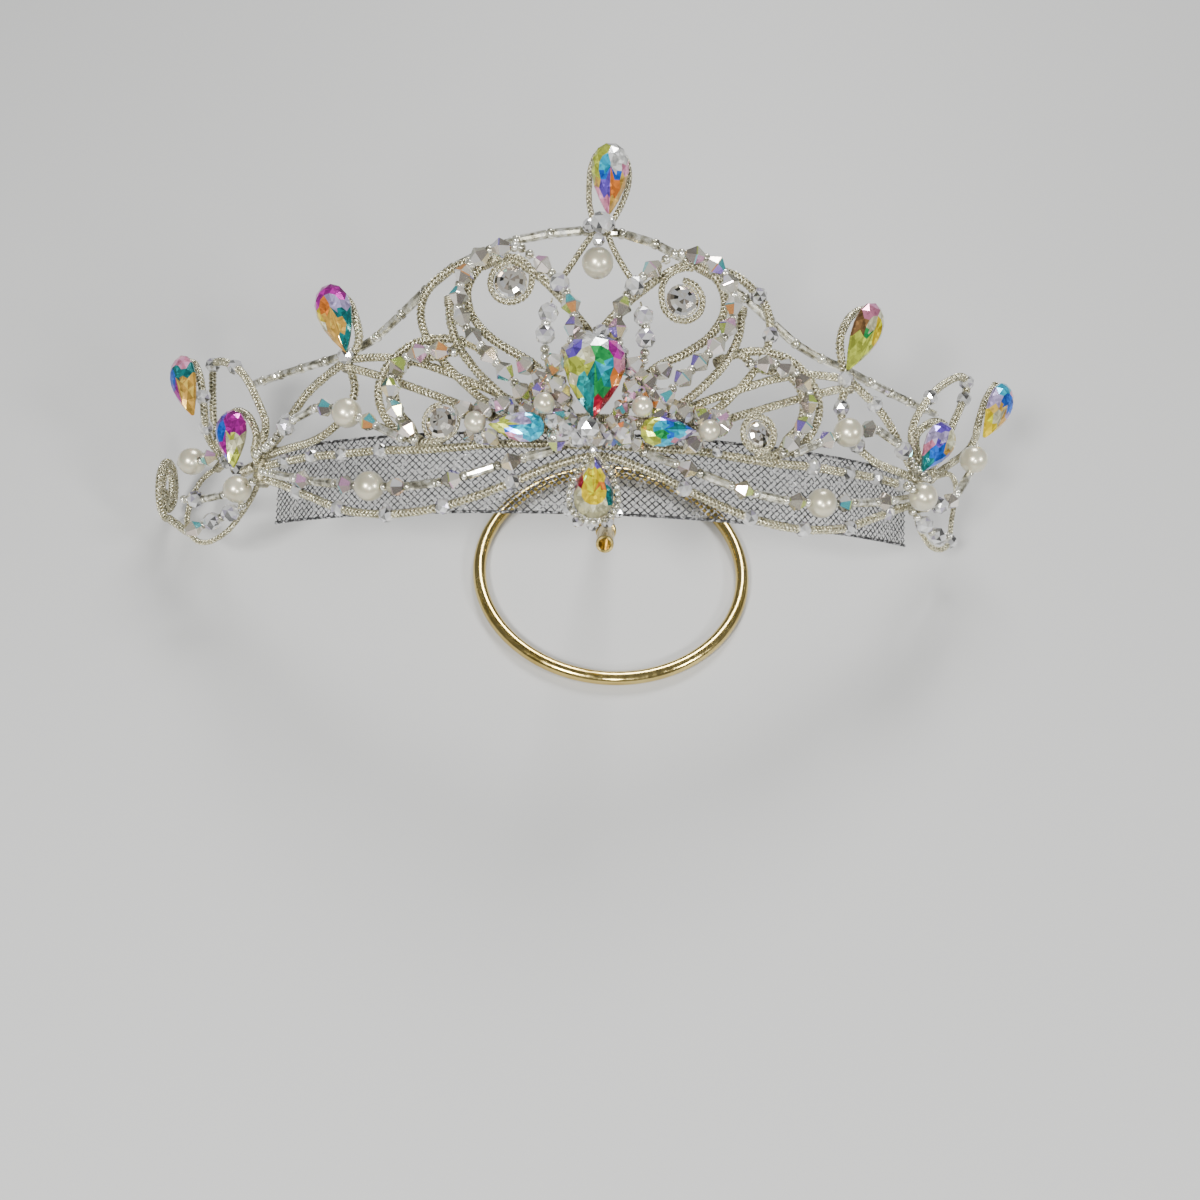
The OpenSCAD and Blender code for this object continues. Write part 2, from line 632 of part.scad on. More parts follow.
// Wires of the side: fans, oval, the two wires to the end, the tine and the lower curl
module side_frame(side) {
    straight = [upper_fan_route, lower_fan_route, upper_side_route];
    tine = of_side(tine_routes, side);
    bent = [lower_side_route, tine, curl_outer_route, curl_inner_route];
    oval = moved(on_side(oval_route, side));
    knots = [
        [[53.8, 29.2, 0], [53.8, 33, 0]], [[78, 14.7, 0], [74.6, 15, 0]],
        [[15, 20.2, 0], [17, 21.2, 0]], [[20.6, 18.2, 0], [22.6, 19, 0]],
        [[21.5, 30, 2], [23.4, 31.2, 2]], [[36, 14.1, 2], [34.4, 13.3, 2]],
    ];
    color("silver") leant() union() {
        for (rows = straight) wire(on_side(rows, side), wire_d, long_step);
        for (rows = bent) wire(on_side(rows, side));
        wire(oval);
        binding(oval[0], 0.7 * oval[0] + 0.3 * oval[1], knot_r);
        for (pair = knots) let (ends = on_side(pair, side)) binding(ends[0], ends[1], knot_r);
    }
}

// The left petal passes behind the right one where they cross
function petal_rows(side) = [
    for (i = [0:len(petal_route) - 1])
        let (row = petal_route[i]) [side * row[0], row[1], row[2] - (i < 3 && side < 0 ? 1.9 : 0)],
];

module centre_frame() {
    knots = [
        [[21.2, 46.9, 4], [18.6, 48, 4]], [[12.2, 18.2, 3], [10.4, 16.8, 2.8]],
        [[27.4, 41, 4], [27.3, 39.2, 4]],
    ];
    color("silver") middle() union() {
        for (side = [-1, 1]) {
            wire(petal_rows(side));
            binding([side * 17, 47.4, 4], upper_place(side) + [side * 0.5, 3.8, -1.7], 0.8);
            wire(on_side(outer_route, side));
            binding([side * 11.8, 17, 2.8], [0, 17.2, 2.8], 1.5);
            for (pair = knots) let (ends = on_side(pair, side)) binding(ends[0], ends[1], knot_r);
        }
        wire(leaning(both_sides(crown_route)), fine_wire_d, loop_step);
        binding([0.2, 53.2, 4], [0.4, 55.2, 4], 1.5);
        binding([0, 17.2, 2.8], [0, 24, 2.6], 1.2);
    }
}

// Flat spiral of wire that stands beside the left leaf, with the arm that carries it
module coil(side) {
    middle = shell(on_side([coil_place], side)[0]);
    count = 10 * coil_turns;
    turns = [
        for (k = [0:count])
            let (a = 36 * k + 200, r = coil_in_r + (coil_r - coil_in_r) * k / count)
            middle + [0, r * cos(a), r * sin(a)],
    ];
    tube(concat(turns, [for (row = on_side(coil_arm, side)) shell(row)]), wire_d, wire_sides);
}

module end_leaf(side) {
    tall = of_side(tall_leaf_routes, side);
    stone = of_side(stone_leaf_routes, side);
    outer = of_side(outer_leaf_routes, side);
    low = of_side(low_leaf_routes, side);
    tip = [for (rows = [tall, stone, outer, low]) rows[len(rows) - 1]];
    last = len(tall) - 1;
    knots = [
        [[80, 8.2, 0], [80, 16.4, 0]], [tip[0], [82, 12.6, 0.5]], [tip[1], tall[last - 2]],
        [outer[0], side < 0 ? tall[last - 1] : tip[0]], [tip[3], side < 0 ? tall[last - 1] : tip[0]],
    ];
    color("silver") leant() union() {
        for (rows = [tall, stone, outer]) wire(on_side(rows, side));
        wire(on_side(low, side), fine_wire_d);
        if (side < 0) coil(side);
        for (i = [0:len(knots) - 1])
            let (ends = on_side(knots[i], side)) binding(ends[0], ends[1], i == 0 ? 1.7 : 1);
    }
}

module centre_stone() {
    color("lightcyan") middle() seat(centre_stone_place) pear_stone(centre_stone_l, centre_stone_w);
}

module side_stone(side) {
    color("lightcyan") middle() seat(mirrored(side_stone_place, side), side * 94)
        pear_stone(side_stone_l, side_stone_w);
}

module drop_stone() {
    color("lightcyan") middle() seat(drop_place, 180) pear_stone(drop_l, drop_w);
}

module crown_stone() {
    color("lightcyan") middle() seat(crown_stone_place) pear_stone(crown_stone_l, crown_stone_w);
}

module crown_pearl() {
    color("ivory") middle() seat(crown_pearl_place) rotate([90, 0, 0]) drilled_ball(pearl_d, hole_r);
}

module tine_stone(side) {
    color("lightcyan") leant() side_seat(of_side(tine_stone_seats, side), side)
        pear_stone(tine_stone_l, tine_stone_w);
}

module upper_rosette(side) {
    color("lightcyan") middle() seat(upper_place(side)) rosette(upper_round_d);
}

module lower_rosette(side) {
    color("lightcyan") leant() seat(mirrored(lower_rosette_place, side)) rosette(lower_round_d);
}

module leaf_stone(side) {
    color("lightcyan") leant() side_seat(of_side(leaf_stone_seats, side), side)
        pear_stone(leaf_stone_l, leaf_stone_w);
}

module outer_stone(side) {
    color("lightcyan") leant() side_seat(of_side(outer_stone_seats, side), side)
        pear_stone(outer_stone_l, outer_stone_w);
}

module cluster(rows) {
    for (row = rows) seat(row) rotate([90, 0, 0]) drilled_ball(row[3], hole_r);
}

module centre_beads() {
    color("ivory") middle() cluster(centre_cluster);
}

module crown_beads() {
    color("white") middle() cluster(crown_cluster);
}

module drop_beads() {
    color("white") middle() cluster(drop_cluster);
}

// Tube beads at even steps along the top strand
module top_strand() {
    path = route(top_route, wire_step);
    sums = lengths(path);
    total = sums[len(sums) - 1];
    count = floor(total / top_pitch);
    color("silver") leant() for (i = [0:count - 1]) {
        s = total / 2 + (i - (count - 1) / 2) * top_pitch;
        a = at_length(path, sums, s - tube_bead / 2);
        b = at_length(path, sums, s + tube_bead / 2);
        along((a + b) / 2, b - a) tube_bead_solid();
    }
}

module top_thread() {
    color("silver") leant() tube(route(top_route, wire_step), top_thread_d, thread_sides);
}

module curl_beads(side) {
    color("white") union() {
        middle() strand(on_side(curl_rows, side));
        leant() strand(on_side(low_curl_rows, side));
    }
}

module inner_beads(side) {
    color("white") middle() {
        strand(on_side(inner_rows, side));
        strand(on_side(round_rows, side));
    }
}

module pearl_strand(side) {
    color("ivory") leant() strand(on_side(pearl_rows, side));
}

module bead_strand(side) {
    color("ivory") leant() strand(on_side(bead_rows, side));
}

module strand_threads(side) {
    color("silver") union() {
        middle() for (rows = [curl_rows, inner_rows, round_rows]) strand_thread(on_side(rows, side));
        leant() for (rows = [low_curl_rows, pearl_rows, bead_rows]) strand_thread(on_side(rows, side));
    }
}

module leaf_beads(side) {
    color("ivory") leant() for (rows = of_side(leaf_strands, side)) strand(on_side(rows, side));
}

module leaf_threads(side) {
    color("silver") leant()
        for (rows = of_side(leaf_strands, side)) strand_thread(on_side(rows, side));
}

stand();
net_band();
middle_wire();
bottom_wire();
wire_beads(-1);  // wire_beads_left
wire_beads(1);  // wire_beads_right
side_frame(-1);  // side_frame_left
side_frame(1);  // side_frame_right
centre_frame();
end_leaf(-1);  // end_leaf_left
end_leaf(1);  // end_leaf_right
centre_stone();
side_stone(-1);  // side_stone_left
side_stone(1);  // side_stone_right
drop_stone();
crown_stone();
crown_pearl();
tine_stone(-1);  // tine_stone_left
tine_stone(1);  // tine_stone_right
upper_rosette(-1);  // upper_rosette_left
upper_rosette(1);  // upper_rosette_right
lower_rosette(-1);  // lower_rosette_left
lower_rosette(1);  // lower_rosette_right
leaf_stone(-1);  // leaf_stone_left
leaf_stone(1);  // leaf_stone_right
outer_stone(-1);  // outer_stone_left
outer_stone(1);  // outer_stone_right
centre_beads();
crown_beads();
drop_beads();
top_strand();
top_thread();
curl_beads(-1);  // curl_beads_left
curl_beads(1);  // curl_beads_right
inner_beads(-1);  // inner_beads_left
inner_beads(1);  // inner_beads_right
pearl_strand(-1);  // pearl_strand_left
pearl_strand(1);  // pearl_strand_right
bead_strand(-1);  // bead_strand_left
bead_strand(1);  // bead_strand_right
strand_threads(-1);  // strand_threads_left
strand_threads(1);  // strand_threads_right
leaf_beads(-1);  // leaf_beads_left
leaf_beads(1);  // leaf_beads_right
leaf_threads(-1);  // leaf_threads_left
leaf_threads(1);  // leaf_threads_right
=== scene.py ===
# %% [markdown]
# # A ballet tiara on its display stand
# The tiara is bent from braided wire and dressed with crystals, pearls and net.
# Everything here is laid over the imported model, so each piece starts from the same
# measures as the solid it stands for. Sizes are in millimetres until a mesh is made.

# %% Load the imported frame
import math
import random

import bpy
from mathutils import Matrix, Vector


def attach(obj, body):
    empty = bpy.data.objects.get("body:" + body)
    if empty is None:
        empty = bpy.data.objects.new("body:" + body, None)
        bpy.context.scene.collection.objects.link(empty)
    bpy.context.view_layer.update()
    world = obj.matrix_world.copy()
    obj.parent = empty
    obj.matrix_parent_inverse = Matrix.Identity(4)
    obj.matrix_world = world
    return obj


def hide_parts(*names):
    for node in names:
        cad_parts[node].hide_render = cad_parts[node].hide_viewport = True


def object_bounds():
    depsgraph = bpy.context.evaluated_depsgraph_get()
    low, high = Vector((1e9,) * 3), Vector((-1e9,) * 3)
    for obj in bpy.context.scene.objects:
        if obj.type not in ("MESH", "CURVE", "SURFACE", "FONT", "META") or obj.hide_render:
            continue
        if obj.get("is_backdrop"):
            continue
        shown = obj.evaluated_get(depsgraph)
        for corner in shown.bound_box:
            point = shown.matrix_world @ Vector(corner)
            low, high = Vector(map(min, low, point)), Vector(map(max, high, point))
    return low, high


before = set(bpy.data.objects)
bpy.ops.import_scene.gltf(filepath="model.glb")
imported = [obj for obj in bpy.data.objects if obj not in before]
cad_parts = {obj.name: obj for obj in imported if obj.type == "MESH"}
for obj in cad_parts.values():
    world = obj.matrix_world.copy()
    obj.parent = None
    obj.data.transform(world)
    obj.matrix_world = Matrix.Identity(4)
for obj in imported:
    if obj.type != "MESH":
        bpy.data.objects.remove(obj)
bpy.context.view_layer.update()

MM = 0.001
scene = bpy.context.scene

# %% [markdown]
# ## Places on the tiara
# A tiara lies round a head, so a place on it has three numbers: how far round the head
# line it is, how high, and how far in front of that line. Matrices then lean the whole
# tiara over its stand. Working this way keeps every table short and easy to read.

# %% Head line and its frames
HEAD_R = 96
LEAN = math.radians(58)
ARC = Vector((2, 27.2, -35.4))
MIDDLE_SHIFT = -1.6
CROWN_SHIFT = 1.7

leant = Matrix.Translation(ARC) @ Matrix.Rotation(-LEAN, 4, "X")
middle = leant @ Matrix.Rotation(MIDDLE_SHIFT / HEAD_R, 4, "Z")


def around(radius, turn, height):
    """A point at an angle round the head."""
    return Vector((radius * math.sin(turn), -radius * math.cos(turn), height))


def shell(row):
    """A place round the head, height and stand-off become a point."""
    return around(HEAD_R + row[2], row[0] / HEAD_R, row[1])


def on_side(rows, side):
    return [(side * row[0], *row[1:]) for row in rows]


def both_sides(rows):
    return on_side(rows[:0:-1], -1) + list(rows)


def smooth(points, step):
    """A Catmull-Rom line through points, about step apart."""
    made = []
    for i in range(len(points) - 1):
        b, c = points[i], points[i + 1]
        a, d = points[max(i - 1, 0)], points[min(i + 2, len(points) - 1)]
        count = max(1, round((c - b).length / step))
        for k in range(count):
            t = k / count
            made.append((2 * b + (c - a) * t + (2 * a - 5 * b + 4 * c - d) * t ** 2
                         + (3 * b - a - 3 * c + d) * t ** 3) / 2)
    return made + [points[-1]]


def route(rows, step=1.0):
    return smooth([shell(row) for row in rows], step)


def seat(row, roll=0.0):
    """A frame that lies against the head line with its front outwards."""
    return (Matrix.Translation(shell(row)) @ Matrix.Rotation(row[0] / HEAD_R, 4, "Z")
            @ Matrix.Rotation(math.pi / 2, 4, "X") @ Matrix.Rotation(math.radians(roll), 4, "Z"))


print("front of the head line:", tuple(round(x, 1) for x in leant @ shell((0, 0, 0))))

# %% [markdown]
# ## Camera
# The picture was taken from above the front with a normal lens. The camera's place was
# worked out on the table in front of the tiara, so it is turned into the tiara's frame
# here. It is made first, because every later choice is judged through it.

# %% Camera
CAMERA_HEIGHT = 226
CAMERA_PITCH = math.radians(53)
CAMERA_ROLL = math.radians(1.8)
TIARA_FROM_FOOT = Vector((-4.28, 207.8, -36.33))
TIARA_YAW = math.radians(2)

to_part = (Matrix.Rotation(-LEAN, 3, "X") @ Matrix.Rotation(-TIARA_YAW, 3, "Z")
           @ Matrix.Rotation(LEAN, 3, "X"))
forward = Vector((0, math.cos(CAMERA_PITCH), -math.sin(CAMERA_PITCH)))
up = Vector((0, math.sin(CAMERA_PITCH), math.cos(CAMERA_PITCH)))
right = Vector((1, 0, 0))
turned_right = math.cos(CAMERA_ROLL) * right + math.sin(CAMERA_ROLL) * up
turned_up = math.cos(CAMERA_ROLL) * up - math.sin(CAMERA_ROLL) * right
axes = Matrix((to_part @ turned_right, to_part @ turned_up, to_part @ -forward)).transposed()
place = ARC + to_part @ (Vector((0, 0, CAMERA_HEIGHT)) - TIARA_FROM_FOOT)

camera_data = bpy.data.cameras.new("camera")
camera_data.sensor_width = 36
camera_data.lens = 37.8
camera_data.clip_start = 0.01
camera_data.clip_end = 20
camera = bpy.data.objects.new("camera", camera_data)
camera.matrix_world = Matrix.Translation(place * MM) @ axes.to_4x4()
scene.collection.objects.link(camera)
scene.camera = camera
print("camera at", tuple(round(x, 3) for x in camera.location))

# %% [markdown]
# ## Materials
# Each finish is a small node tree. The colours of the cut stones are stored on their
# facets, because a foiled stone shows a patchwork that depends on how it was cut.
# All patterns read Object coordinates, so that they stay put on the piece.

# %% Node and material helpers
def fill(tree, node, sockets):
    """Each socket is linked to another socket or filled with a value."""
    for label, value in sockets.items():
        if isinstance(value, bpy.types.NodeSocket):
            tree.links.new(value, node.inputs[label])
        else:
            node.inputs[label].default_value = value


def put(tree, kind, sockets=None, **options):
    """The outputs of a new node with its options and its sockets set."""
    node = tree.nodes.new(kind)
    for label, value in options.items():
        setattr(node, label, value)
    fill(tree, node, sockets or {})
    return node.outputs


def dress(finish, **sockets):
    """Values and links for the main shader. An underscore stands for a space."""
    fill(finish.node_tree, finish.node_tree.nodes["Principled BSDF"],
         {label.replace("_", " "): value for label, value in sockets.items()})


def material(name, **sockets):
    made = bpy.data.materials.new(name)
    made.use_nodes = True
    dress(made, **sockets)
    return made, made.node_tree


def pattern(tree, kind, scale, **sockets):
    """A texture that reads Object coordinates."""
    place = put(tree, "ShaderNodeTexCoord")["Object"]
    return put(tree, "ShaderNodeTex" + kind, {"Vector": place, "Scale": scale, **sockets})


def ramp(tree, factor, stops, interpolation="LINEAR"):
    """A colour ramp over (place, colour) pairs, where a bare number is a grey."""
    node = tree.nodes.new("ShaderNodeValToRGB")
    band = node.color_ramp
    band.interpolation = interpolation
    for i, (where, colour) in enumerate(stops):
        stop = band.elements[i] if i < 2 else band.elements.new(where)
        stop.position = where
        stop.color = (*(colour if isinstance(colour, tuple) else [colour] * 3), 1)
    fill(tree, node, {"Fac": factor})
    return node.outputs["Color"]


def bump(tree, height, strength, distance=0.0001):
    return put(tree, "ShaderNodeBump", {"Height": height, "Strength": strength,
                                        "Distance": distance})["Normal"]

# %% Braided wire and its core
# The braid is flat metallic thread that catches the light patch by patch: each little patch gets
# a painted shade, from dark through bright to a painted glint.
def braid_finish(name, dark, bright, painted_glint, roughness):
    made, tree = material(name, Metallic=0.9)
    patch = put(tree, "ShaderNodeSeparateColor",
                {"Color": pattern(tree, "Voronoi", 2600)["Color"]})
    shine = put(tree, "ShaderNodeMapRange", {"Value": patch["Green"], "To Min": roughness - 0.1,
                                             "To Max": roughness + 0.12})
    tones = [(0, dark), (0.45, bright), (0.86, bright), (1, painted_glint)]
    dress(made, Base_Color=ramp(tree, patch["Red"], tones), Roughness=shine["Result"],
          Normal=bump(tree, patch["Blue"], 0.5, 0.00012))
    return made


braid_silver = braid_finish(
    "braid_silver", (0.46, 0.43, 0.29), (0.7, 0.66, 0.47), (1, 0.99, 0.84), 0.28)
# The core shows between the threads and is painted much darker than they are: painted shade in the
# crevices of the braid.
shaded_braid_core = braid_finish(
    "shaded_braid_core", (0.1, 0.092, 0.062), (0.26, 0.235, 0.16), (0.6, 0.56, 0.41), 0.42)
bound_thread = braid_finish(
    "bound_thread", (0.38, 0.35, 0.23), (0.66, 0.61, 0.43), (1, 1, 0.9), 0.32)

# %% Gold metal of the stand
brass, tree = material("brass", Metallic=1.0)
wear = pattern(tree, "Noise", 90, Detail=6)["Fac"]
fine = pattern(tree, "Noise", 900, Detail=4)["Fac"]
dress(brass, Base_Color=ramp(tree, wear, [(0.3, (0.5, 0.36, 0.1)), (0.62, (0.74, 0.58, 0.22))]),
      Roughness=ramp(tree, fine, [(0.35, 0.1), (0.75, 0.3)]), Normal=bump(tree, fine, 0.08))

# %% Net: black nylon with painted glints, grey metallic patches where the threads catch the light
net_nylon, tree = material("net_nylon", Roughness=0.35, Coat_Weight=0.4)
painted_net_glints = pattern(tree, "Noise", 1500, Detail=2)["Fac"]
dress(net_nylon, Base_Color=ramp(tree, painted_net_glints, [(0.5, (0.008, 0.008, 0.009)), (0.64, 0.5)]),
      Metallic=ramp(tree, painted_net_glints, [(0.5, 0), (0.66, 0.8)]))

# %% Pearls: a soft body colour under a clear skin
pearl_skin, tree = material(
    "pearl_skin", Roughness=0.3, Metallic=0.55, Coat_Weight=1.0, Coat_Roughness=0.05,
    Sheen_Weight=0.15, Sheen_Roughness=0.4, Subsurface_Weight=0.15, Subsurface_Scale=0.002,
    Specular_IOR_Level=0.7)
cloud = pattern(tree, "Noise", 260, Detail=3)["Fac"]
dress(pearl_skin, Base_Color=ramp(tree, cloud, [(0.3, (0.5, 0.46, 0.32)), (0.7, (0.7, 0.66, 0.5))]),
      Normal=bump(tree, cloud, 0.05))

# %% Silver-lined glass of the tube beads and seed beads, with painted reflections
lined_glass, tree = material("lined_glass", Metallic=0.75, Coat_Weight=1.0, Coat_Roughness=0.03)
painted_streaks = pattern(tree, "Noise", 700, Detail=3)["Fac"]
# Painted reflections of the lining: dark patches and near-white streaks in the colour, and the
# bright streaks are also glossier.
tones = [(0.36, (0.15, 0.14, 0.1)), (0.5, (0.6, 0.58, 0.45)), (0.62, (1, 0.99, 0.9))]
dress(lined_glass, Base_Color=ramp(tree, painted_streaks, tones),
      Roughness=ramp(tree, painted_streaks, [(0.3, 0.28), (0.7, 0.08)]))

# %% [markdown]
# ## Crystal finishes
# Clear crystal bends light, so it is partly transmission. The thin coating on the cut
# beads throws pale flashes of colour: a thin film does that physically, and a few facets
# carry a stored tint as well, because a small bead shows only one or two flashes.
# Most facets carry a painted grey or white too: painted reflections, dark and bright.

# %% Clear and coated crystal
def crystal_finish(name, film, stops, **sockets):
    """The numbers of a facet and of its bead together pick a painted reflection shade for the
    facet.
    """
    made, tree = material(name, IOR=1.55, Thin_Film_Thickness=film, Thin_Film_IOR=1.9,
                          Coat_Weight=0.6, Coat_Roughness=0.02, **sockets)
    facet, bead = (put(tree, "ShaderNodeAttribute", attribute_name=word)["Fac"]
                   for word in ("facet", "bead"))
    total = put(tree, "ShaderNodeMath", {0: facet, 1: bead}, operation="ADD")[0]
    part = put(tree, "ShaderNodeMath", {0: total}, operation="FRACT")[0]
    dress(made, Base_Color=ramp(tree, part, stops, "CONSTANT"))
    return made


# Painted reflections of the coated crystal: dark greys and whites for what a facet mirrors, and
# tints for the coating's flashes.
PAINTED_FLASHES = [(0, (0.85, 0.83, 0.72)), (0.12, (0.24, 0.23, 0.19)), (0.26, (0.62, 0.59, 0.48)),
           (0.38, (0.97, 0.96, 0.9)), (0.5, (0.36, 0.34, 0.28)), (0.62, (0.85, 0.74, 0.42)),
           (0.7, (0.97, 0.97, 0.95)), (0.76, (0.5, 0.66, 0.12)), (0.81, (0.95, 0.42, 0.12)),
           (0.85, (0.28, 0.2, 0.72)), (0.89, (0.08, 0.55, 0.6)), (0.93, (0.78, 0.42, 0.66)),
           (0.97, 1)]
coated_crystal = crystal_finish("coated_crystal", 420, PAINTED_FLASHES, Roughness=0.05,
                                Transmission_Weight=0.45, Metallic=0.4)
# Painted reflections of the clear crystal: dark and bright greys by facet, with a few lilac facets.
clear_crystal = crystal_finish("clear_crystal", 0, [
    (0, 0.95), (0.24, (0.3, 0.3, 0.29)), (0.36, (0.75, 0.75, 0.72)), (0.5, 0.98), (0.66, 0.12),
    (0.74, 0.9), (0.9, (0.5, 0.46, 0.58))], Roughness=0.04, Transmission_Weight=0.45, Metallic=0.4)
# The foiled crystal's near-black and near-white facets are painted reflections, and its cream and
# warm grey facets are partly the foil's own colour and partly painted shade.
foiled_clear = crystal_finish("foiled_clear", 0, [
    (0, (0.96, 0.92, 0.8)), (0.3, (0.3, 0.26, 0.2)), (0.4, 1), (0.6, (0.55, 0.47, 0.38)),
    (0.74, (0.97, 0.92, 0.82)), (0.93, (0.05, 0.05, 0.04))], Roughness=0.1, Metallic=0.85)

# %% Foiled stones: the tone of each facet is stored on the mesh, under a painted sparkle
stone_fire, tree = material("stone_fire", Metallic=0.6, Roughness=0.16, Coat_Weight=0.7,
                            Coat_Roughness=0.03, Specular_IOR_Level=0.6)
tone = put(tree, "ShaderNodeAttribute", attribute_name="tone")["Color"]
# A painted sparkle: small cells darken the stored tone, and a few light it far above its own
# colour, standing for inner reflections.
painted_sparkle = put(tree, "ShaderNodeSeparateColor", {"Color": pattern(tree, "Voronoi", 1500)["Color"]})
shade = ramp(tree, painted_sparkle["Red"], [(0, 0.5), (0.5, 1), (0.93, 1), (0.96, 1.7)])
blend = put(tree, "ShaderNodeMix", {0: 0.8, 6: tone, 7: shade},
            data_type="RGBA", blend_type="MULTIPLY")
dress(stone_fire, Base_Color=blend[2])
print("materials:", len(bpy.data.materials))

# %% [markdown]
# ## Meshes and pieces
# A piece is a plain mesh whose points are already in place, in metres, with its object at
# the origin. One helper makes the object from points and faces, and another lets it ride
# on the body and hides the solids that it stands for.

# %% Mesh helpers
def mesh_object(name, points, faces, finish, frame_of=Matrix(), smooth_faces=False):
    """An object from points in millimetres, moved by a frame and scaled to metres."""
    mesh = bpy.data.meshes.new(name)
    mesh.from_pydata([(frame_of @ Vector(p)) * MM for p in points], [], faces)
    mesh.materials.append(finish)
    mesh.polygons.foreach_set("use_smooth", [smooth_faces] * len(mesh.polygons))
    mesh.update()
    return bpy.data.objects.new(name, mesh)


def settle(obj, slot, *nodes):
    """The finished piece rides on the body and stands for its solids."""
    if obj.name not in scene.collection.objects:
        scene.collection.objects.link(obj)
    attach(obj, "root")
    if nodes:
        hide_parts(*nodes)
    obj.data.calc_loop_triangles()
    count = len(obj.data.loop_triangles)
    print(f"{obj.name}: {count} triangles for {', '.join(nodes) or 'no solid'}")


def ring_of(radius, height, sides, start=0.0):
    """Points of a level ring."""
    return [(radius * math.cos(start + math.tau * k / sides),
             radius * math.sin(start + math.tau * k / sides), height) for k in range(sides)]


def turned(profile, sides, start=0.0):
    """Points and faces of a closed profile of (radius, height) turned round Z."""
    points, faces, rows = [], [], []
    for radius, height in profile:
        pole = radius < 1e-6
        rows.append([len(points)] * sides if pole else range(len(points), len(points) + sides))
        points += [(0, 0, height)] if pole else ring_of(radius, height, sides, start)
    for row, above in zip(rows, rows[1:] + rows[:1]):
        for k in range(sides):
            m = (k + 1) % sides
            face = list(dict.fromkeys((row[k], row[m], above[m], above[k])))
            if len(face) > 2:
                faces.append(face)
    return points, faces


def joined(name, parts):
    """Several objects of one piece become one mesh, each with its own finish."""
    for part in parts:
        scene.collection.objects.link(part)
    with bpy.context.temp_override(active_object=parts[0], selected_editable_objects=parts,
                                   object=parts[0], selected_objects=parts):
        bpy.ops.object.join()
    parts[0].name = parts[0].data.name = name
    return parts[0]


print("a ring of 8 sides has", len(turned([(1, 0), (2, 0), (2, 1), (1, 1)], 8)[1]), "faces")

# %% [markdown]
# ## Geometry Nodes helpers
# Wire, net and beads repeat thousands of times, so they are made by Geometry Nodes. Each
# tree is built here with named inputs, gets its values, and is turned into a plain mesh.

# %% Tree helpers
class Tree:
    """A tree with named inputs, and short forms for its nodes."""

    def __init__(self, name, **inputs):
        self.tree = bpy.data.node_groups.new(name, "GeometryNodeTree")
        add = self.tree.interface.new_socket
        for way in ("INPUT", "OUTPUT"):
            add("Geometry", in_out=way, socket_type="NodeSocketGeometry")
        for label, kind in inputs.items():
            add(label.replace("_", " "), in_out="INPUT", socket_type="NodeSocket" + kind)
        self.given = self.tree.nodes.new("NodeGroupInput").outputs

    def put(self, kind, sockets=None, **options):
        return put(self.tree, kind if "Node" in kind else "GeometryNode" + kind, sockets, **options)

    def node(self, kind, sockets=None, **options):
        return self.put(kind, sockets, **options)[0]

    def calc(self, operation, *values):
        return self.node("ShaderNodeMath", dict(enumerate(values)), operation=operation)

    def tube(self, curve, sides, radius, **sockets):
        """A closed tube along a curve."""
        circle = self.node("CurvePrimitiveCircle", {"Resolution": sides, "Radius": radius})
        return self.node("CurveToMesh", {"Curve": curve, "Profile Curve": circle,
                                         "Fill Caps": True, **sockets})

    def spin(self, angle):
        """A rotation about Z."""
        return self.node("FunctionNodeEulerToRotation",
                         {"Euler": self.node("ShaderNodeCombineXYZ", {"Z": angle})})

    def close(self, geometry):
        """Every tree ends in real meshes with their material."""
        real = self.node("RealizeInstances", {"Geometry": geometry})
        dressed = self.node("SetMaterial", {"Geometry": real, "Material": self.given["Material"]})
        self.put("NodeGroupOutput", {"Geometry": dressed})
        print(self.tree.name, "tree:", len(self.tree.nodes), "nodes")

    def run(self, name, source, **values):
        """The source object with the tree's result as a plain mesh of its own."""
        scene.collection.objects.link(source)
        step = source.modifiers.new(self.tree.name, "NODES")
        step.node_group = self.tree
        sockets = {item.name: item.identifier for item in self.tree.interface.items_tree
                   if item.in_out == "INPUT"}
        for label, value in values.items():
            step[sockets[label.replace("_", " ")]] = value
        bpy.context.view_layer.update()
        depsgraph = bpy.context.evaluated_depsgraph_get()
        mesh = bpy.data.meshes.new_from_object(
            source.evaluated_get(depsgraph), preserve_all_data_layers=True, depsgraph=depsgraph)
        bpy.data.objects.remove(source)
        mesh.name = name
        return bpy.data.objects.new(name, mesh)


def lines_object(name, lines):
    """A mesh of bare edges along lines of points, with a thickness stored per point."""
    points, edges, thick = [], [], []
    for line, size in lines:
        edges += [(len(points) + i, len(points) + i + 1) for i in range(len(line) - 1)]
        points += [p * MM for p in line]
        thick += [size] * len(line)
    mesh = bpy.data.meshes.new(name)
    mesh.from_pydata(points, edges, [])
    mesh.attributes.new("thick", "FLOAT", "POINT").data.foreach_set("value", thick)
    return bpy.data.objects.new(name, mesh)

# %% [markdown]
# ## Braided wire
# The real wire is covered with a tube of braided metallic thread: three threads wind one
# way and three the other, and they pass over and under each other. The tree copies the
# wire's line once for each thread, moves the copy round the line, and lets it rise and
# fall where it crosses the others. A tube in the middle stands for the wire itself.
# The same tree makes the tight bindings, with one thread that winds one way only.

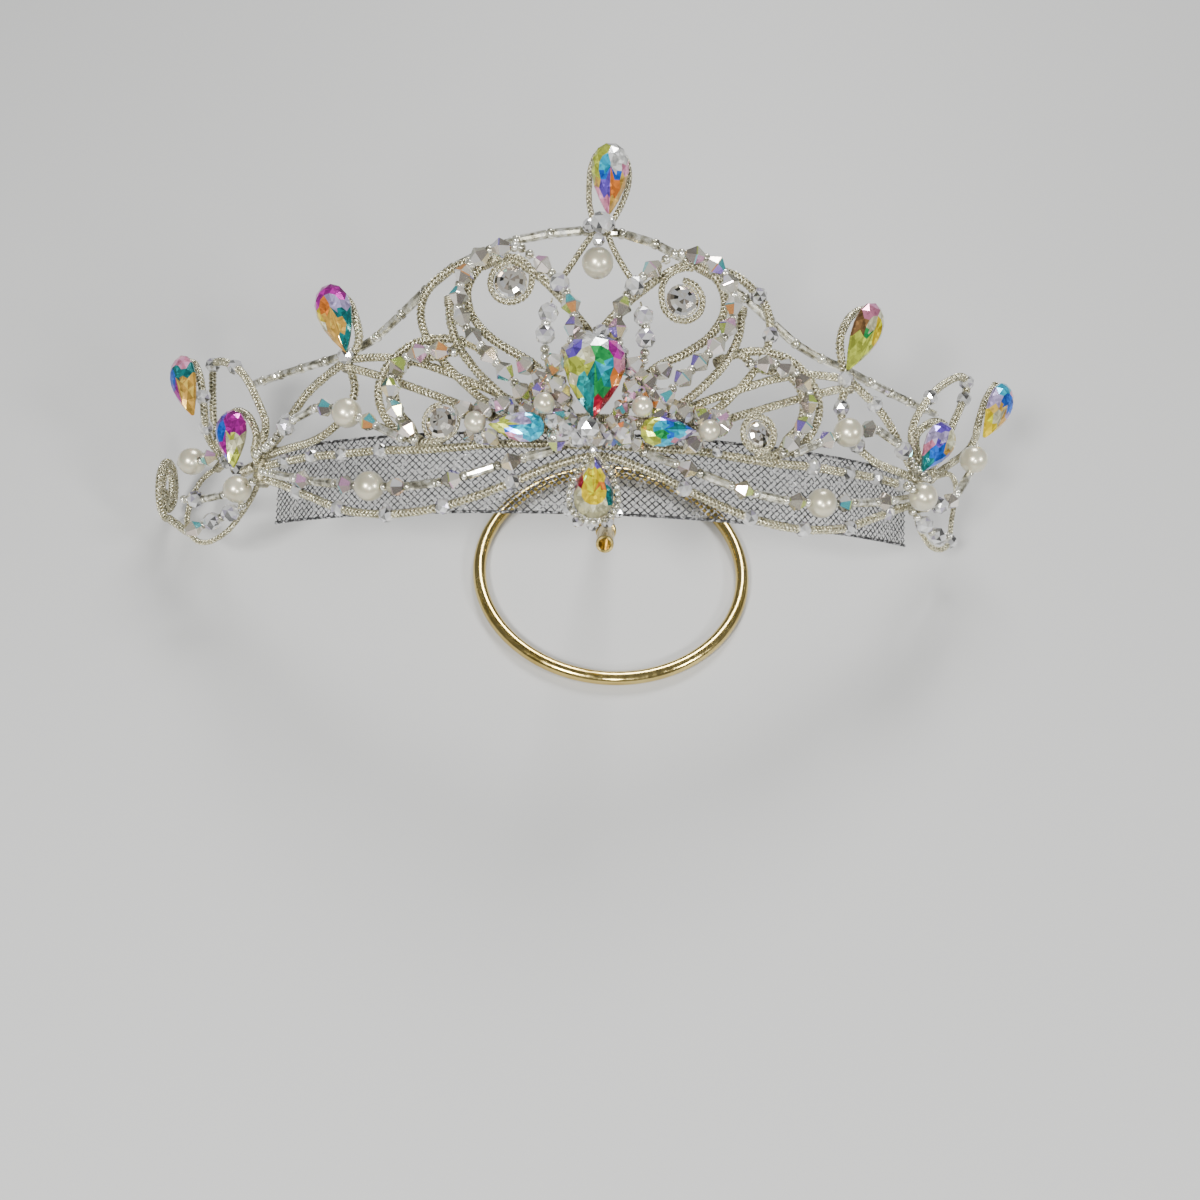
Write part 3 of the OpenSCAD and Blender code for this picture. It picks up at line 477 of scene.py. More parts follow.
# %% Braid tree
THREAD_STEPS = 12
CORE_STEP = 0.9
braid = Tree("braid", Core_radius="Float", Braid_radius="Float", Thread_radius="Float",
             Pitch="Float", Weave="Float", Threads="Int", Copies="Int",
             Core_material="Material", Thread_material="Material")
given, node, calc = braid.given, braid.node, braid.calc
line = node("MeshToCurve", {"Mesh": given["Geometry"]})
thick = node("InputNamedAttribute", {"Name": "thick"})
step = calc("DIVIDE", given["Pitch"], float(THREAD_STEPS))
sampled = node("ResampleCurve", {"Curve": line, "Length": step}, mode="LENGTH")
copies = braid.put("DuplicateElements", {"Geometry": sampled, "Amount": given["Copies"]},
                   domain="SPLINE")
share = calc("DIVIDE", copies["Duplicate Index"], given["Threads"])
way = calc("SUBTRACT", 1.0, calc("MULTIPLY", 2.0, calc("FLOOR", share)))
run = calc("MULTIPLY", math.tau,
           calc("DIVIDE", braid.put("SplineParameter")["Length"], given["Pitch"]))
angle = calc("ADD", calc("MULTIPLY", run, way), calc("MULTIPLY", math.tau, share))
lift = calc("MULTIPLY", calc("MULTIPLY", way, given["Weave"]),
            calc("COSINE", calc("MULTIPLY", run, given["Threads"])))
radius = calc("MULTIPLY", thick, calc("ADD", given["Braid radius"], lift))
normal = node("InputNormal")
aside = node("ShaderNodeVectorMath", {0: node("InputTangent"), 1: normal},
             operation="CROSS_PRODUCT")
out, across = (node("ShaderNodeVectorMath", {0: direction, "Scale": calc(
    "MULTIPLY", radius, calc(wave, angle))}, operation="SCALE")
    for direction, wave in ((normal, "COSINE"), (aside, "SINE")))
offset = node("ShaderNodeVectorMath", {0: out, 1: across}, operation="ADD")
wound_lines = node("SetPosition", {"Geometry": copies["Geometry"], "Offset": offset})
core_line = node("ResampleCurve", {"Curve": line, "Length": CORE_STEP * MM}, mode="LENGTH")
core = node("SetShadeSmooth", {
    "Geometry": braid.tube(core_line, 8, given["Core radius"], Scale=thick), "Shade Smooth": True})
thread = braid.tube(wound_lines, 3, given["Thread radius"], Scale=thick)
both = braid.tree.nodes.new("GeometryNodeJoinGeometry")
for geometry, finish in ((core, "Core material"), (thread, "Thread material")):
    fill(braid.tree, both, {0: node("SetMaterial", {"Geometry": geometry,
                                                    "Material": given[finish]})})
braid.put("NodeGroupOutput", {"Geometry": node("RealizeInstances", {"Geometry": both.outputs[0]})})


def wound(name, lines, sizes, threads, copies, core_finish, thread_finish):
    """Thread wound along (line, thickness) pairs. The sizes are in millimetres: radius of
    the core, of the winding and of the thread, the pitch, and the rise of the weave."""
    core, winding, thread, pitch, weave = (size * MM for size in sizes)
    return braid.run(name, lines_object(name, lines), Core_radius=core, Braid_radius=winding,
                     Thread_radius=thread, Pitch=pitch, Weave=weave, Threads=threads,
                     Copies=copies, Core_material=core_finish, Thread_material=thread_finish)


def braided(name, lines):
    return wound(name, lines, (0.64, 0.69, 0.2, 2.6, 0.07), 3, 6, shaded_braid_core, braid_silver)


def bound(name, lines):
    """Bindings: one fine thread wound tightly over short stretches."""
    return wound(name, lines, (1, 1, 0.19, 0.42, 0), 1, 1, shaded_braid_core, bound_thread)


def twined(name, lines, radius, strand):
    """The beads' thread: two fine strands laid round a core."""
    return wound(name, lines, (radius, radius, strand, 1.2, 0), 2, 2, bound_thread, bound_thread)


WIRE_D = 1.7
FINE_WIRE = 1.2 / WIRE_D
print("braid tree:", len(braid.tree.nodes), "nodes")

# %% [markdown]
# ## Routes of the wires
# The same tables as in the solid model: place round the head, height, stand-off. A script
# worked out the rows of the tines, the leaves and the leaves' strings, and the seats of the
# six outer stones, from points picked on the picture: they are measurements, not a design.

# %% Route tables
MIDDLE_ROUTE = [(0, 13, 0), (12, 13, 0), (20, 13, 0), (29, 12.4, 0), (36, 12.2, 0),
                (44.5, 12.5, 0), (54, 12.4, 0), (62.3, 12.6, 0), (70, 12.4, 0), (77.8, 12.3, 0)]
BOTTOM_ROUTE = [(0, 11, 0), (8.5, 8.9, 0), (16.5, 5.6, 0), (23.5, 2.9, 0), (30.2, 1, 0),
                (36, 0, 0), (42.4, -0.3, 0), (48.5, 0.2, 0), (54.3, 1.4, 0), (63.3, 4.6, 0),
                (70, 7, 0), (77.8, 9.2, 0)]
SIDE_ROUTES = [
    [(54, 31.8, 0), (44, 31.2, 0), (35, 29, 0), (27, 25.8, 0), (20, 22.8, 0), (14.5, 20, 0),
     (10, 17.8, 1), (6, 16.6, 1.6)],
    [(53, 30, 0), (44, 27, 0), (36, 24, 0), (28, 21, 0), (20.5, 18.2, 0), (15, 16.4, 0.8),
     (9, 15.2, 1.4)],
    [(54.5, 31.4, 0), (60, 28.8, 0), (65, 26, 0), (69, 22.6, 0), (73, 18.6, 0), (77.6, 15.6, 0)],
    [(53.4, 30.6, 0), (51.6, 25.6, 0), (53.4, 20.6, 0), (57.2, 17.8, 0), (62.5, 15.8, 0),
     (70, 15.1, 0), (77.6, 14.7, 0)],
    [(21.5, 30, 2), (27.5, 33, 2), (34.8, 33.3, 2), (39.9, 31.2, 2), (43.4, 27.5, 2),
     (44.3, 23, 2), (42.4, 18.4, 2), (38.8, 15, 2), (34.4, 13.3, 2), (30.2, 13.2, 2)],
    [(26.6, 32.4, 2), (31, 30, 2), (36, 30, 2), (39.5, 27.5, 2), (40.6, 23.3, 2),
     (39.2, 19.2, 2), (36.8, 16.6, 2), (35.6, 14, 2)],
]
TINE_ROUTES = {
    "left": [(53.8, 31.6, 0), (51.3, 33.8, 0.4), (50.8, 36.2, 0.4), (51.5, 38.3, 0.3),
             (52.7, 41.1, 0.1), (54.3, 43.7, -0.2), (56.9, 45.4, -0.5), (59.2, 45.6, -0.6)],
    "right": [(54, 32, 0), (51.6, 34.4, 0.4), (50.6, 37.6, 0.6), (50.8, 40.3, 0.6),
              (52.1, 42.9, 0.4), (54, 45.1, 0), (56.6, 46.9, -0.4), (59.3, 47.9, -0.6)],
}
OVAL_ROUTE = [(21, 49, 1.9), (28, 48, 0.8), (33.8, 44.2, 0), (35.3, 39.6, 0), (34.2, 34.6, 0),
              (31, 29.8, 0), (26.6, 25, 0), (22.5, 21.4, 0), (17, 18.6, 0.6), (11, 16.8, 1.2)]
SIDE_KNOTS = [
    [(53.8, 29.2, 0), (53.8, 33, 0)], [(78, 14.7, 0), (74.6, 15, 0)],
    [(15, 20.2, 0), (17, 21.2, 0)], [(20.6, 18.2, 0), (22.6, 19, 0)],
    [(21.5, 30, 2), (23.4, 31.2, 2)], [(36, 14.1, 2), (34.4, 13.3, 2)],
]
PETAL_ROUTE = [(-4.4, 25, 4), (-0.6, 32, 4), (3.8, 37.8, 4), (8.8, 42.8, 4), (13, 46.2, 4),
               (17.2, 48.2, 4), (21.4, 46.8, 4), (23.8, 43, 4), (23.6, 38.8, 4), (21, 34.4, 4),
               (16.6, 30.8, 4), (11.2, 27.6, 4), (7, 23, 3.6), (5.6, 17.6, 2.8)]
OUTER_ROUTE = [(27.4, 41, 4), (27, 36, 4), (25, 30.8, 4), (21.2, 25.8, 4), (16.6, 21.4, 3.6),
               (11.4, 17.4, 2.8)]
RAY_ROUTE = [(8.5, 28.6, 6.2), (7.8, 25.4, 5.4), (6.6, 21.4, 4.2), (5.4, 17.6, 3.2)]
CROWN_ROUTE = [(0, 70.2, 3.4), (2.4, 69, 3.4), (3.5, 66.2, 3.4), (3.6, 63, 3.4), (3.1, 59.6, 3.6),
               (2.2, 56.6, 3.9), (1.2, 53.8, 4), (2.9, 50, 4), (6, 44.8, 4), (8.4, 42, 4)]
CENTRE_KNOTS = [
    [(21.2, 46.9, 4), (18.6, 48, 4)], [(12.2, 18.2, 3), (10.4, 16.8, 2.8)],
    [(27.4, 41, 4), (27.3, 39.2, 4)],
]
LEAF_ROUTES = {
    "left": [
        [(80, 12.4, 0.8), (78.4, 13.9, 2.4), (76.2, 15.6, 2.8), (75, 18.2, 2.7), (75.5, 21.1, 2.4),
         (77.1, 23.9, 2.6), (79.3, 27, 2.8), (81.7, 30, 3), (85.5, 33.3, 3.2), (89.9, 35.6, 3.4),
         (95.6, 37.6, 3.6), (100.4, 38.1, 3.8), (101.4, 36.2, 3.8), (101.7, 33.3, 3.6),
         (102.4, 30.3, 3.2), (103, 27.2, 2.8), (103, 24.1, 2.2), (101.1, 20.6, 1.6),
         (95.6, 16.1, 1), (87.1, 11.9, 0.5)],
        [(80, 13.4, 1), (79, 14.6, 2.5), (78.4, 16.2, 2.7), (78.1, 18.2, 2.6), (79.4, 20.7, 2.8),
         (81.7, 22.9, 2.8), (85.5, 24.6, 2.7), (90, 25.1, 2.4), (93.5, 24.2, 2), (95.2, 21.5, 1.8),
         (97.4, 18.4, 1.4)],
        [(93.5, 15, 0.8), (100.6, 18.2, 1.6), (101.5, 20.4, 3.4), (98, 22.2, 5.4),
         (94.4, 24.2, 7.1), (93, 26.7, 8), (93, 29.7, 8.5), (93.8, 32.9, 9), (97.2, 36.2, 9),
         (101.7, 37.9, 9)],
        [(80, 10.6, 0.2), (81.4, 7.3, 0.4), (83, 4.6, 1), (84.2, 1.8, 2.2), (85.4, -0.9, 3.6),
         (87.5, -2.8, 5), (90.5, -3.8, 6.2), (94, -3.3, 7.2), (97.5, -1.2, 7.8), (101.2, 2.1, 7.6),
         (103.5, 6.1, 6.6), (105.8, 10.1, 5), (104.7, 12.9, 3.4), (100.8, 14.5, 1.8)]],
    "right": [
        [(80, 12.4, 0.8), (78.4, 13.9, 2.4), (75.8, 16.4, 2.5), (72.7, 19.5, 2.3),
         (71.4, 22.4, 2.4), (71.8, 24.9, 2.5), (73.1, 27.2, 2.6), (75.6, 30.2, 2.8),
         (78.5, 32.9, 3), (82.4, 35.7, 3.2), (87.7, 38.4, 3.4), (93, 40.4, 3.6), (97.2, 40.7, 3.8),
         (97.7, 38.5, 3.8), (95.8, 35.3, 3.4), (93.7, 32.3, 3), (91.4, 29.3, 2.6),
         (89.3, 26.2, 2.2), (87.9, 23.2, 1.6), (83.4, 18.2, 1.2), (81.4, 15.2, 0.6)],
        [(80, 13.4, 1), (78.6, 14.4, 2.4), (76.2, 16.9, 2.4), (73.4, 20.6, 2.3), (73.3, 23.3, 2.5),
         (76.4, 25.8, 2.8), (80.9, 27.6, 2.7), (85.8, 28.1, 2.4), (89.6, 27.4, 2)],
        [(84.6, 16.4, 0.8), (95.6, 21.5, 1.4), (99.2, 24.4, 3.4), (98.8, 27, 5.4),
         (94.4, 28.8, 7.2), (93.2, 31.2, 8.2), (93.8, 34.2, 9), (96, 37.1, 9.6),
         (98.5, 39.3, 10.2)],
        [(80, 10.6, 0.2), (78.8, 8, 0), (78.4, 5.8, 0), (79.1, 4.3, 0), (81.9, 2.3, 0),
         (85.4, 0.9, 0), (90.3, 0.8, 0), (95.4, 2.1, 0), (98.4, 4.5, 0), (99.7, 8, 0),
         (100.4, 11.8, 0.4), (100.1, 14.9, 1), (96.6, 17.1, 1.6), (91.9, 18.1, 1.4),
         (83.4, 15.6, 1)]],
}
COIL_PLACE = (-107.6, 9.9, 10.8)
COIL_ARM = [(-103, 2, 10.6), (-98.6, -0.6, 8.6), (-96.8, -1.6, 7.7)]

SIDES = {"left": -1, "right": 1}


def straight(frame_of, rows, size=1.0):
    """A line straight from place to place, with its thickness."""
    return [frame_of @ shell(row) for row in rows], size


def curved(frame_of, rows, size=1.0, step=1.0):
    """A smooth line through the places, with its thickness."""
    return [frame_of @ p for p in route(rows, step)], size


def moved_aside(rows, shift, low, high):
    """Rows that move aside by the shift, little by little from one height to another."""
    return [(s + shift * max(0, min(1, (h - low) / (high - low))), h, out) for s, h, out in rows]


def bent_wires(name, node, lines, knots):
    """One piece of braided wires with the bindings that hold them together."""
    settle(joined(name, [braided("wires", lines), bound("knots", knots)]), "wound_wire", node)

# %% Long wires along the band
for name, rows in (("middle_wire", MIDDLE_ROUTE), ("bottom_wire", BOTTOM_ROUTE)):
    settle(braided("braided_" + name, [curved(leant, both_sides(rows))]), "wound_wire", name)

# %% Side frames: fans, tines, ovals and low curls, with their bindings
for label, side in SIDES.items():
    lines = [curved(leant, on_side(rows, side)) for rows in SIDE_ROUTES + [TINE_ROUTES[label]]]
    lines.append(curved(leant, moved_aside(on_side(OVAL_ROUTE, side), MIDDLE_SHIFT, 21, 41)))
    knots = [straight(leant, on_side(pair, side)) for pair in SIDE_KNOTS]
    bent_wires("side_wires_" + label, "side_frame_" + label, lines, knots)

# %% [markdown]
# ## The centre frame
# Two petals cross behind the large stone and hold a coiled setting each, two outer wires
# widen the flower, and a fine wire climbs to the top stone and loops round it. The left
# petal starts a little further back, so that the two pass each other.

# %% Centre frame
LEFT_PETAL_BACK, WIDE_KNOT, SLIM_KNOT, RAY_WIRE = 1.9, 1.25, 1.1, 0.8
crown = moved_aside(both_sides(CROWN_ROUTE), CROWN_SHIFT, 50, 64)
lines, knots = [curved(middle, crown, FINE_WIRE, step=0.7)], []
for side in SIDES.values():
    petal = [(side * s, h, out - (LEFT_PETAL_BACK if i < 3 and side < 0 else 0))
             for i, (s, h, out) in enumerate(PETAL_ROUTE)]
    lines += [curved(middle, petal), curved(middle, on_side(OUTER_ROUTE, side))]
    knots += [straight(middle, on_side(pair, side)) for pair in CENTRE_KNOTS]
    knots.append(straight(middle, [(side * 11.8, 17, 2.8), (0, 17.2, 2.8)], WIDE_KNOT))
knots += [straight(middle, [(0.2, 53.2, 4), (0.4, 55.2, 4)], WIDE_KNOT),
          straight(middle, [(0, 17.2, 2.8), (0, 24, 2.6)], SLIM_KNOT)]
lines += [curved(middle, on_side(RAY_ROUTE, side), RAY_WIRE) for side in SIDES.values()]
bent_wires("centre_wires", "centre_frame", lines, knots)

# %% End leaves, the left one with its flat coil
# The coil's points as angles and radii, from its inner end outwards.
COIL_STEPS, STEP_TURN, FIRST_TURN, INNER_R, GROWTH, END_KNOT = 45, 18, 200, 2.2, 4.8, 1.6
COIL = [(math.radians(FIRST_TURN + STEP_TURN * k), INNER_R + GROWTH * k / COIL_STEPS)
        for k in range(COIL_STEPS + 1)]
for label, side in SIDES.items():
    tall, inner, outer, low = LEAF_ROUTES[label]
    lines = [curved(leant, on_side(rows, side), FINE_WIRE if rows is low else 1.0)
             for rows in LEAF_ROUTES[label]]
    if side < 0:
        coil = [shell(COIL_PLACE) + Vector((0, r * math.cos(a), r * math.sin(a))) for a, r in COIL]
        lines.append(([leant @ p for p in coil + [shell(row) for row in COIL_ARM]], 1.0))
    foot = tall[-2] if side < 0 else tall[-1]
    pairs = [[(80, 8.2, 0), (80, 16.4, 0)], [tall[-1], (82, 12.6, 0.5)], [inner[-1], tall[-3]],
             [outer[0], foot], [low[-1], foot]]
    knots = [straight(leant, on_side(pair, side), 1.0 if i else END_KNOT)
             for i, pair in enumerate(pairs)]
    bent_wires("leaf_wires_" + label, "end_leaf_" + label, lines, knots)

# %% [markdown]
# ## Stand
# The stand is gold plated rod: a ring that lies on the table, a post that leans forward
# from the back of the ring, a collar, and a short open tube that the tiara rests on.
# Turned profiles give truly round metal, and small chamfers catch the light at the edges.

# %% Display stand
STAND_X, RING_BACK, RING_R, ROD_D, POST_D = 5, -28.8, 30, 3, 2.9
POST_TURN, POST_RISE, POST_LENGTH, TIP_LENGTH = -3.5, 37.3, 67, 11
base = Matrix.Translation((ARC.x + STAND_X, ARC.y + RING_BACK, ROD_D / 2))
post = (base @ Matrix.Translation((0, RING_R, 0))
        @ Matrix.Rotation(math.radians(POST_TURN), 4, "Z")
        @ Matrix.Rotation(math.radians(90 - POST_RISE), 4, "X"))
rod = [(RING_R + ROD_D / 2 * math.cos(a), ROD_D / 2 * math.sin(a))
       for a in (math.tau * k / 20 for k in range(20))]
collar_r, tube_r, bore_r = (ROD_D + 1) / 2, (ROD_D + 0.3) / 2, (ROD_D - 0.9) / 2
low, high = POST_LENGTH - 1.5, POST_LENGTH + TIP_LENGTH
post_profile = [
    (0, 0), (POST_D / 2, 0), (POST_D / 2, low), (collar_r - 0.2, low), (collar_r, low + 0.2),
    (collar_r, POST_LENGTH - 0.2), (collar_r - 0.2, POST_LENGTH), (tube_r, POST_LENGTH),
    (tube_r, high - 0.15), (tube_r - 0.15, high), (bore_r + 0.12, high), (bore_r, high - 0.12),
    (bore_r, POST_LENGTH + 1.5), (0, POST_LENGTH + 1.5)]
WELD_R, WELD_H = 1.9, 1.6
weld = [(0, -WELD_H)] + [(WELD_R * math.cos(a), WELD_H * math.sin(a)) for a in (
    math.pi * (k / 8 - 0.5) for k in range(1, 8))] + [(0, WELD_H)]
weld_place = base @ Matrix.Translation((0, RING_R, 0.2))
stand = joined("display_stand", [
    mesh_object("part", *turned(profile, sides), brass, place, True) for profile, sides, place in (
        (rod, 128, base), (post_profile, 32, post), (weld, 20, weld_place))])
stand.modifiers.new("edges", "EDGE_SPLIT").split_angle = math.radians(32)
settle(stand, "stand_metal", "stand")

# %% [markdown]
# ## Net band
# Black net closes the gap to the head. It is woven from slanting threads, so the tree
# takes one pair of crossing threads, copies it round the band at even steps, cuts off what
# passes the ends, and only then gives the lines their thickness.

# %% Net tree
mesher = Tree("net", Copies="Int", Step="Float", Reach="Float", Thread_radius="Float",
              Material="Material")
given, node, calc = mesher.given, mesher.node, mesher.calc
half = calc("DIVIDE", calc("SUBTRACT", given["Copies"], 1.0), 2.0)
turn = calc("MULTIPLY", calc("SUBTRACT", node("InputIndex"), half), given["Step"])
fan = node("InstanceOnPoints", {"Points": node("Points", {"Count": given["Copies"]}),
                                "Instance": node("MeshToCurve", {"Mesh": given["Geometry"]}),
                                "Rotation": mesher.spin(turn)})
xyz = mesher.put("ShaderNodeSeparateXYZ", {"Vector": node("InputPosition")})
bearing = calc("ABSOLUTE", calc("ARCTAN2", xyz["X"], calc("MULTIPLY", xyz["Y"], -1.0)))
past = node("FunctionNodeCompare", {"A": bearing, "B": given["Reach"]}, operation="GREATER_THAN")
kept = node("DeleteGeometry", {"Geometry": node("RealizeInstances", {"Geometry": fan}),
                               "Selection": past}, domain="POINT")
mesher.close(mesher.tube(kept, 4, given["Thread radius"]))

# %% Net band
# Each thread crosses a few net steps from the lower edge to the upper one, in small waves.
NET_H, NET_R, NET_REACH, NET_STEP, NET_COPIES, NET_THREAD_R = 16, 93.8, 77, 1.5, 115, 0.145
WAVES, STEPS_CROSSED, WAVE_DEPTH, RIM_INSET, RIM_STEPS = 24, 12, 0.1, 0.25, 60
threads = [([around(NET_R + WAVE_DEPTH * way * (1 if k % 2 else -1),
                    way * (k / WAVES - 0.5) * STEPS_CROSSED * NET_STEP / NET_R, NET_H * k / WAVES)
             for k in range(WAVES + 1)], 1.0) for way in (-1, 1)]
net = mesher.run("net_weave", lines_object("net", threads), Copies=NET_COPIES,
                 Step=NET_STEP / NET_R, Reach=NET_REACH / HEAD_R,
                 Thread_radius=NET_THREAD_R * MM, Material=net_nylon)
net.data.transform(Matrix.Scale(MM, 4) @ leant @ Matrix.Scale(1 / MM, 4))
sweep = [NET_REACH / HEAD_R * (k / RIM_STEPS - 0.5) * 2 for k in range(RIM_STEPS + 1)]
rims = [([leant @ around(NET_R, turn, height) for turn in sweep], 1.0)
        for height in (RIM_INSET, NET_H - RIM_INSET)]
net_band = joined("net_weave", [net, wound("rim", rims, (0.2, 0.22, 0.12, 1.6, 0.03), 2, 4,
                                           net_nylon, net_nylon)])
settle(net_band, "net_cord", "net_band")

# %% [markdown]
# ## Beads
# Five kinds of bead are modelled once each. A table of places, with the direction of the
# thread and a kind, is then enough: one tree sets a bead at each place, and gives every
# copy its own number, so that no two crystals flash alike.

# %% Bead shapes
def facets(obj, seed):
    """Each face gets its own number, which its finish turns into a painted reflection shade."""
    dice = random.Random(seed)
    values = [dice.random() for _ in obj.data.polygons]
    obj.data.attributes.new("facet", "FLOAT", "FACE").data.foreach_set("value", values)
    return obj


def mirrored(half, *middle):
    """A profile whose upper half is the mirror of the lower one."""
    return [*half, *middle, *((radius, -height) for radius, height in reversed(half))]


def ball_profile(radius, hole, count):
    start = math.asin(hole / radius)
    arc = [start + (math.pi - 2 * start) * k / count for k in range(count + 1)]
    return [(radius * math.sin(a), -radius * math.cos(a)) for a in arc]


def cut_ball(sides):
    """A ball of radius 1 with rings of three-cornered facets."""
    points, faces = [(0, 0, 1)], []
    for row, height in enumerate(map(math.radians, (50, 17, -17, -50))):
        points += ring_of(math.cos(height), math.sin(height), sides, math.pi * row / sides)
    foot = len(points)
    points.append((0, 0, -1))
    for k in range(sides):
        m = (k + 1) % sides
        faces += [(0, 1 + k, 1 + m), (foot, foot - sides + m, foot - sides + k)]
        for upper in range(1, 1 + 3 * sides, sides):
            lower = upper + sides
            faces += [(upper + k, lower + k, upper + m), (upper + m, lower + k, lower + m)]
    return points, faces


CONE_L, CONE_D, TUBE_L, TUBE_D, PEARL_R, PEARL_HOLE = 3.6, 3.9, 5.4, 1.8, 3, 0.4
cone = facets(mesh_object("cone", *turned(mirrored(
    [(0.35, -CONE_L / 2), (0.8, -CONE_L / 2), (CONE_D / 2, -0.12)]), 6), coated_crystal), 3)
tube = mesh_object("tube", *turned(mirrored(
    [(0.4, -TUBE_L / 2), (0.75, -TUBE_L / 2), (TUBE_D / 2, 0.15 - TUBE_L / 2)]), 10), lined_glass)
pearl = mesh_object("pearl", *turned(ball_profile(PEARL_R, PEARL_HOLE, 14), 24), pearl_skin,
                    smooth_faces=True)
seed = mesh_object("seed", *turned(mirrored(
    [(0.3, -0.5), (0.62, -0.72), (0.95, -0.36)], (0.98, 0)), 10), lined_glass, smooth_faces=True)
round_glass = facets(mesh_object("round_glass", *cut_ball(7), clear_crystal), 8)
print("bead faces:", {b.name: len(b.data.polygons) for b in (cone, tube, pearl, seed, round_glass)})

# %% Bead tree
setter = Tree("beads", Bead="Object", Seed="Int", Material="Material")
given, node = setter.given, setter.node
pose = node("FunctionNodeAlignRotationToVector", {"Vector": node(
    "InputNamedAttribute", {"Name": "axis"}, data_type="FLOAT_VECTOR")}, axis="Z")
twist, own = (setter.put("FunctionNodeRandomValue", {2: 0.0, 3: top, "Seed": given["Seed"]},
                         data_type="FLOAT")[1] for top in (math.tau, 1.0))
roll = node("FunctionNodeRotateRotation", {"Rotation": pose, "Rotate By": setter.spin(twist)},
            rotation_space="LOCAL")
copies = node("InstanceOnPoints", {
    "Points": given["Geometry"], "Rotation": roll,
    "Instance": setter.put("ObjectInfo", {"Object": given["Bead"]})["Geometry"],
    "Scale": node("InputNamedAttribute", {"Name": "size"})})
setter.close(node("StoreNamedAttribute", {"Geometry": copies, "Name": "bead", "Value": own},
                  domain="INSTANCE"))


def beads(name, kind, places, number):
    """One mesh of beads of a kind at (point, direction, size) places."""
    mesh = bpy.data.meshes.new(name)
    mesh.from_pydata([p * MM for p, _, _ in places], [], [])
    mesh.attributes.new("axis", "FLOAT_VECTOR", "POINT").data.foreach_set(
        "vector", [c for _, d, _ in places for c in d.normalized()])
    mesh.attributes.new("size", "FLOAT", "POINT").data.foreach_set(
        "value", [s for _, _, s in places])
    return setter.run(name, bpy.data.objects.new(name, mesh), Bead=kind, Seed=number,
                      Material=kind.data.materials[0])


def posed(frame_of, point, direction, size):
    """A bead's point, direction and size, moved by a frame."""
    return frame_of @ point, frame_of.to_3x3() @ direction, size

# %% [markdown]
# ## Strings of beads
# A thread runs straight through each bead and bends where two beads meet. The function
# below returns that line and the place of each bead, and puts seed beads in the gaps,
# as on the real strings, where each crystal is kept apart by a round silver seed.

# %% Strings
PLAIN, CONE, TUBE, PEARL, GLASS = range(5)
LENGTH = {PLAIN: 0, CONE: 3.9, TUBE: 5.4, PEARL: 6, GLASS: 4}
SEED_L, SEED_SIZE, SEED_SLACK, END_GAP = 1.5, 0.95, 0.3, 0.1


def string_of(rows):
    """The thread's points and the beads along it, as (kind, point, direction, size)."""
    path = [shell(rows[0])]
    for a, b in zip(rows, rows[1:]):
        p, q = shell(a), shell(b)
        half_a, half_b = LENGTH[a[3]] / 2, LENGTH[b[3]] / 2
        slack = (q - p).length - half_a - half_b
        share = slack - END_GAP if half_a == 0 else END_GAP if half_b == 0 else slack / 2
        path.append(p + (half_a + share) * (q - p).normalized())
    path.append(shell(rows[-1]))
    found = [(row[3], (a + b) / 2, (b - a).normalized(), 1.0)
             for row, a, b in zip(rows[1:-1], path[1:], path[2:])]
    stops = [(path[0], path[0])]
    stops += [(p - d * LENGTH[kind] / 2, p + d * LENGTH[kind] / 2) for kind, p, d, _ in found]
    stops += [(path[-1], path[-1])]
    seeds = []
    for i, ((_, p), (q, _)) in enumerate(zip(stops, stops[1:])):
        between = 0 < i < len(stops) - 2
        count = max(1 if between else 0, int(((q - p).length + SEED_SLACK) / SEED_L))
        seeds += [("seed", p + (q - p) * (k + 0.5) / count, q - p, SEED_SIZE)
                  for k in range(count)]
    found = [bead for bead in found if bead[0] != PLAIN] + seeds
    return path, found


CURL_ROWS = [(12.8, 48.8, 7, PLAIN), (17, 49.6, 7, CONE), (21.5, 47.9, 7, CONE),
             (24.2, 44.4, 7, CONE), (24.9, 40, 7, CONE), (24.2, 35.6, 7, CONE),
             (21.6, 31.9, 7, CONE), (18.6, 28.5, 7, CONE), (15.6, 25.2, 7, CONE),
             (13.2, 22.4, 6.4, PLAIN)]
INNER_ROWS = [(13, 48.4, 7, PLAIN), (9.6, 46, 7, CONE), (6.4, 42.2, 7, GLASS),
              (3.9, 38.2, 7, CONE), (3.7, 33.8, 7, CONE), (4.2, 30.6, 6.6, PLAIN)]
ROUND_ROWS = [(7.8, 39.4, 6.2, PLAIN), (8.4, 36.6, 7, GLASS), (9, 32.3, 7, GLASS),
              (8.6, 27.6, 6, PLAIN)]
LOW_CURL_ROWS = [(26.2, 29.4, 5.2, PLAIN), (29.8, 30.4, 5.2, CONE), (34.6, 30.5, 5.2, CONE),
                 (39, 28.2, 5.2, CONE), (40.4, 23.4, 5.2, CONE), (38.9, 18.8, 5.2, CONE),
                 (35.9, 15.3, 5.2, CONE), (34.2, 12.6, 4.4, PLAIN)]
PEARL_ROWS = [(77, 13.6, 3.6, PLAIN), (72, 15, 3.4, PLAIN), (66.8, 18.4, 4, GLASS),
              (61.2, 21, 4, TUBE), (55.6, 21.8, 4, CONE), (50, 19.6, 4, PEARL),
              (44.9, 17.4, 4, CONE), (40.4, 15.2, 4, TUBE), (36.8, 13.4, 4, PLAIN)]
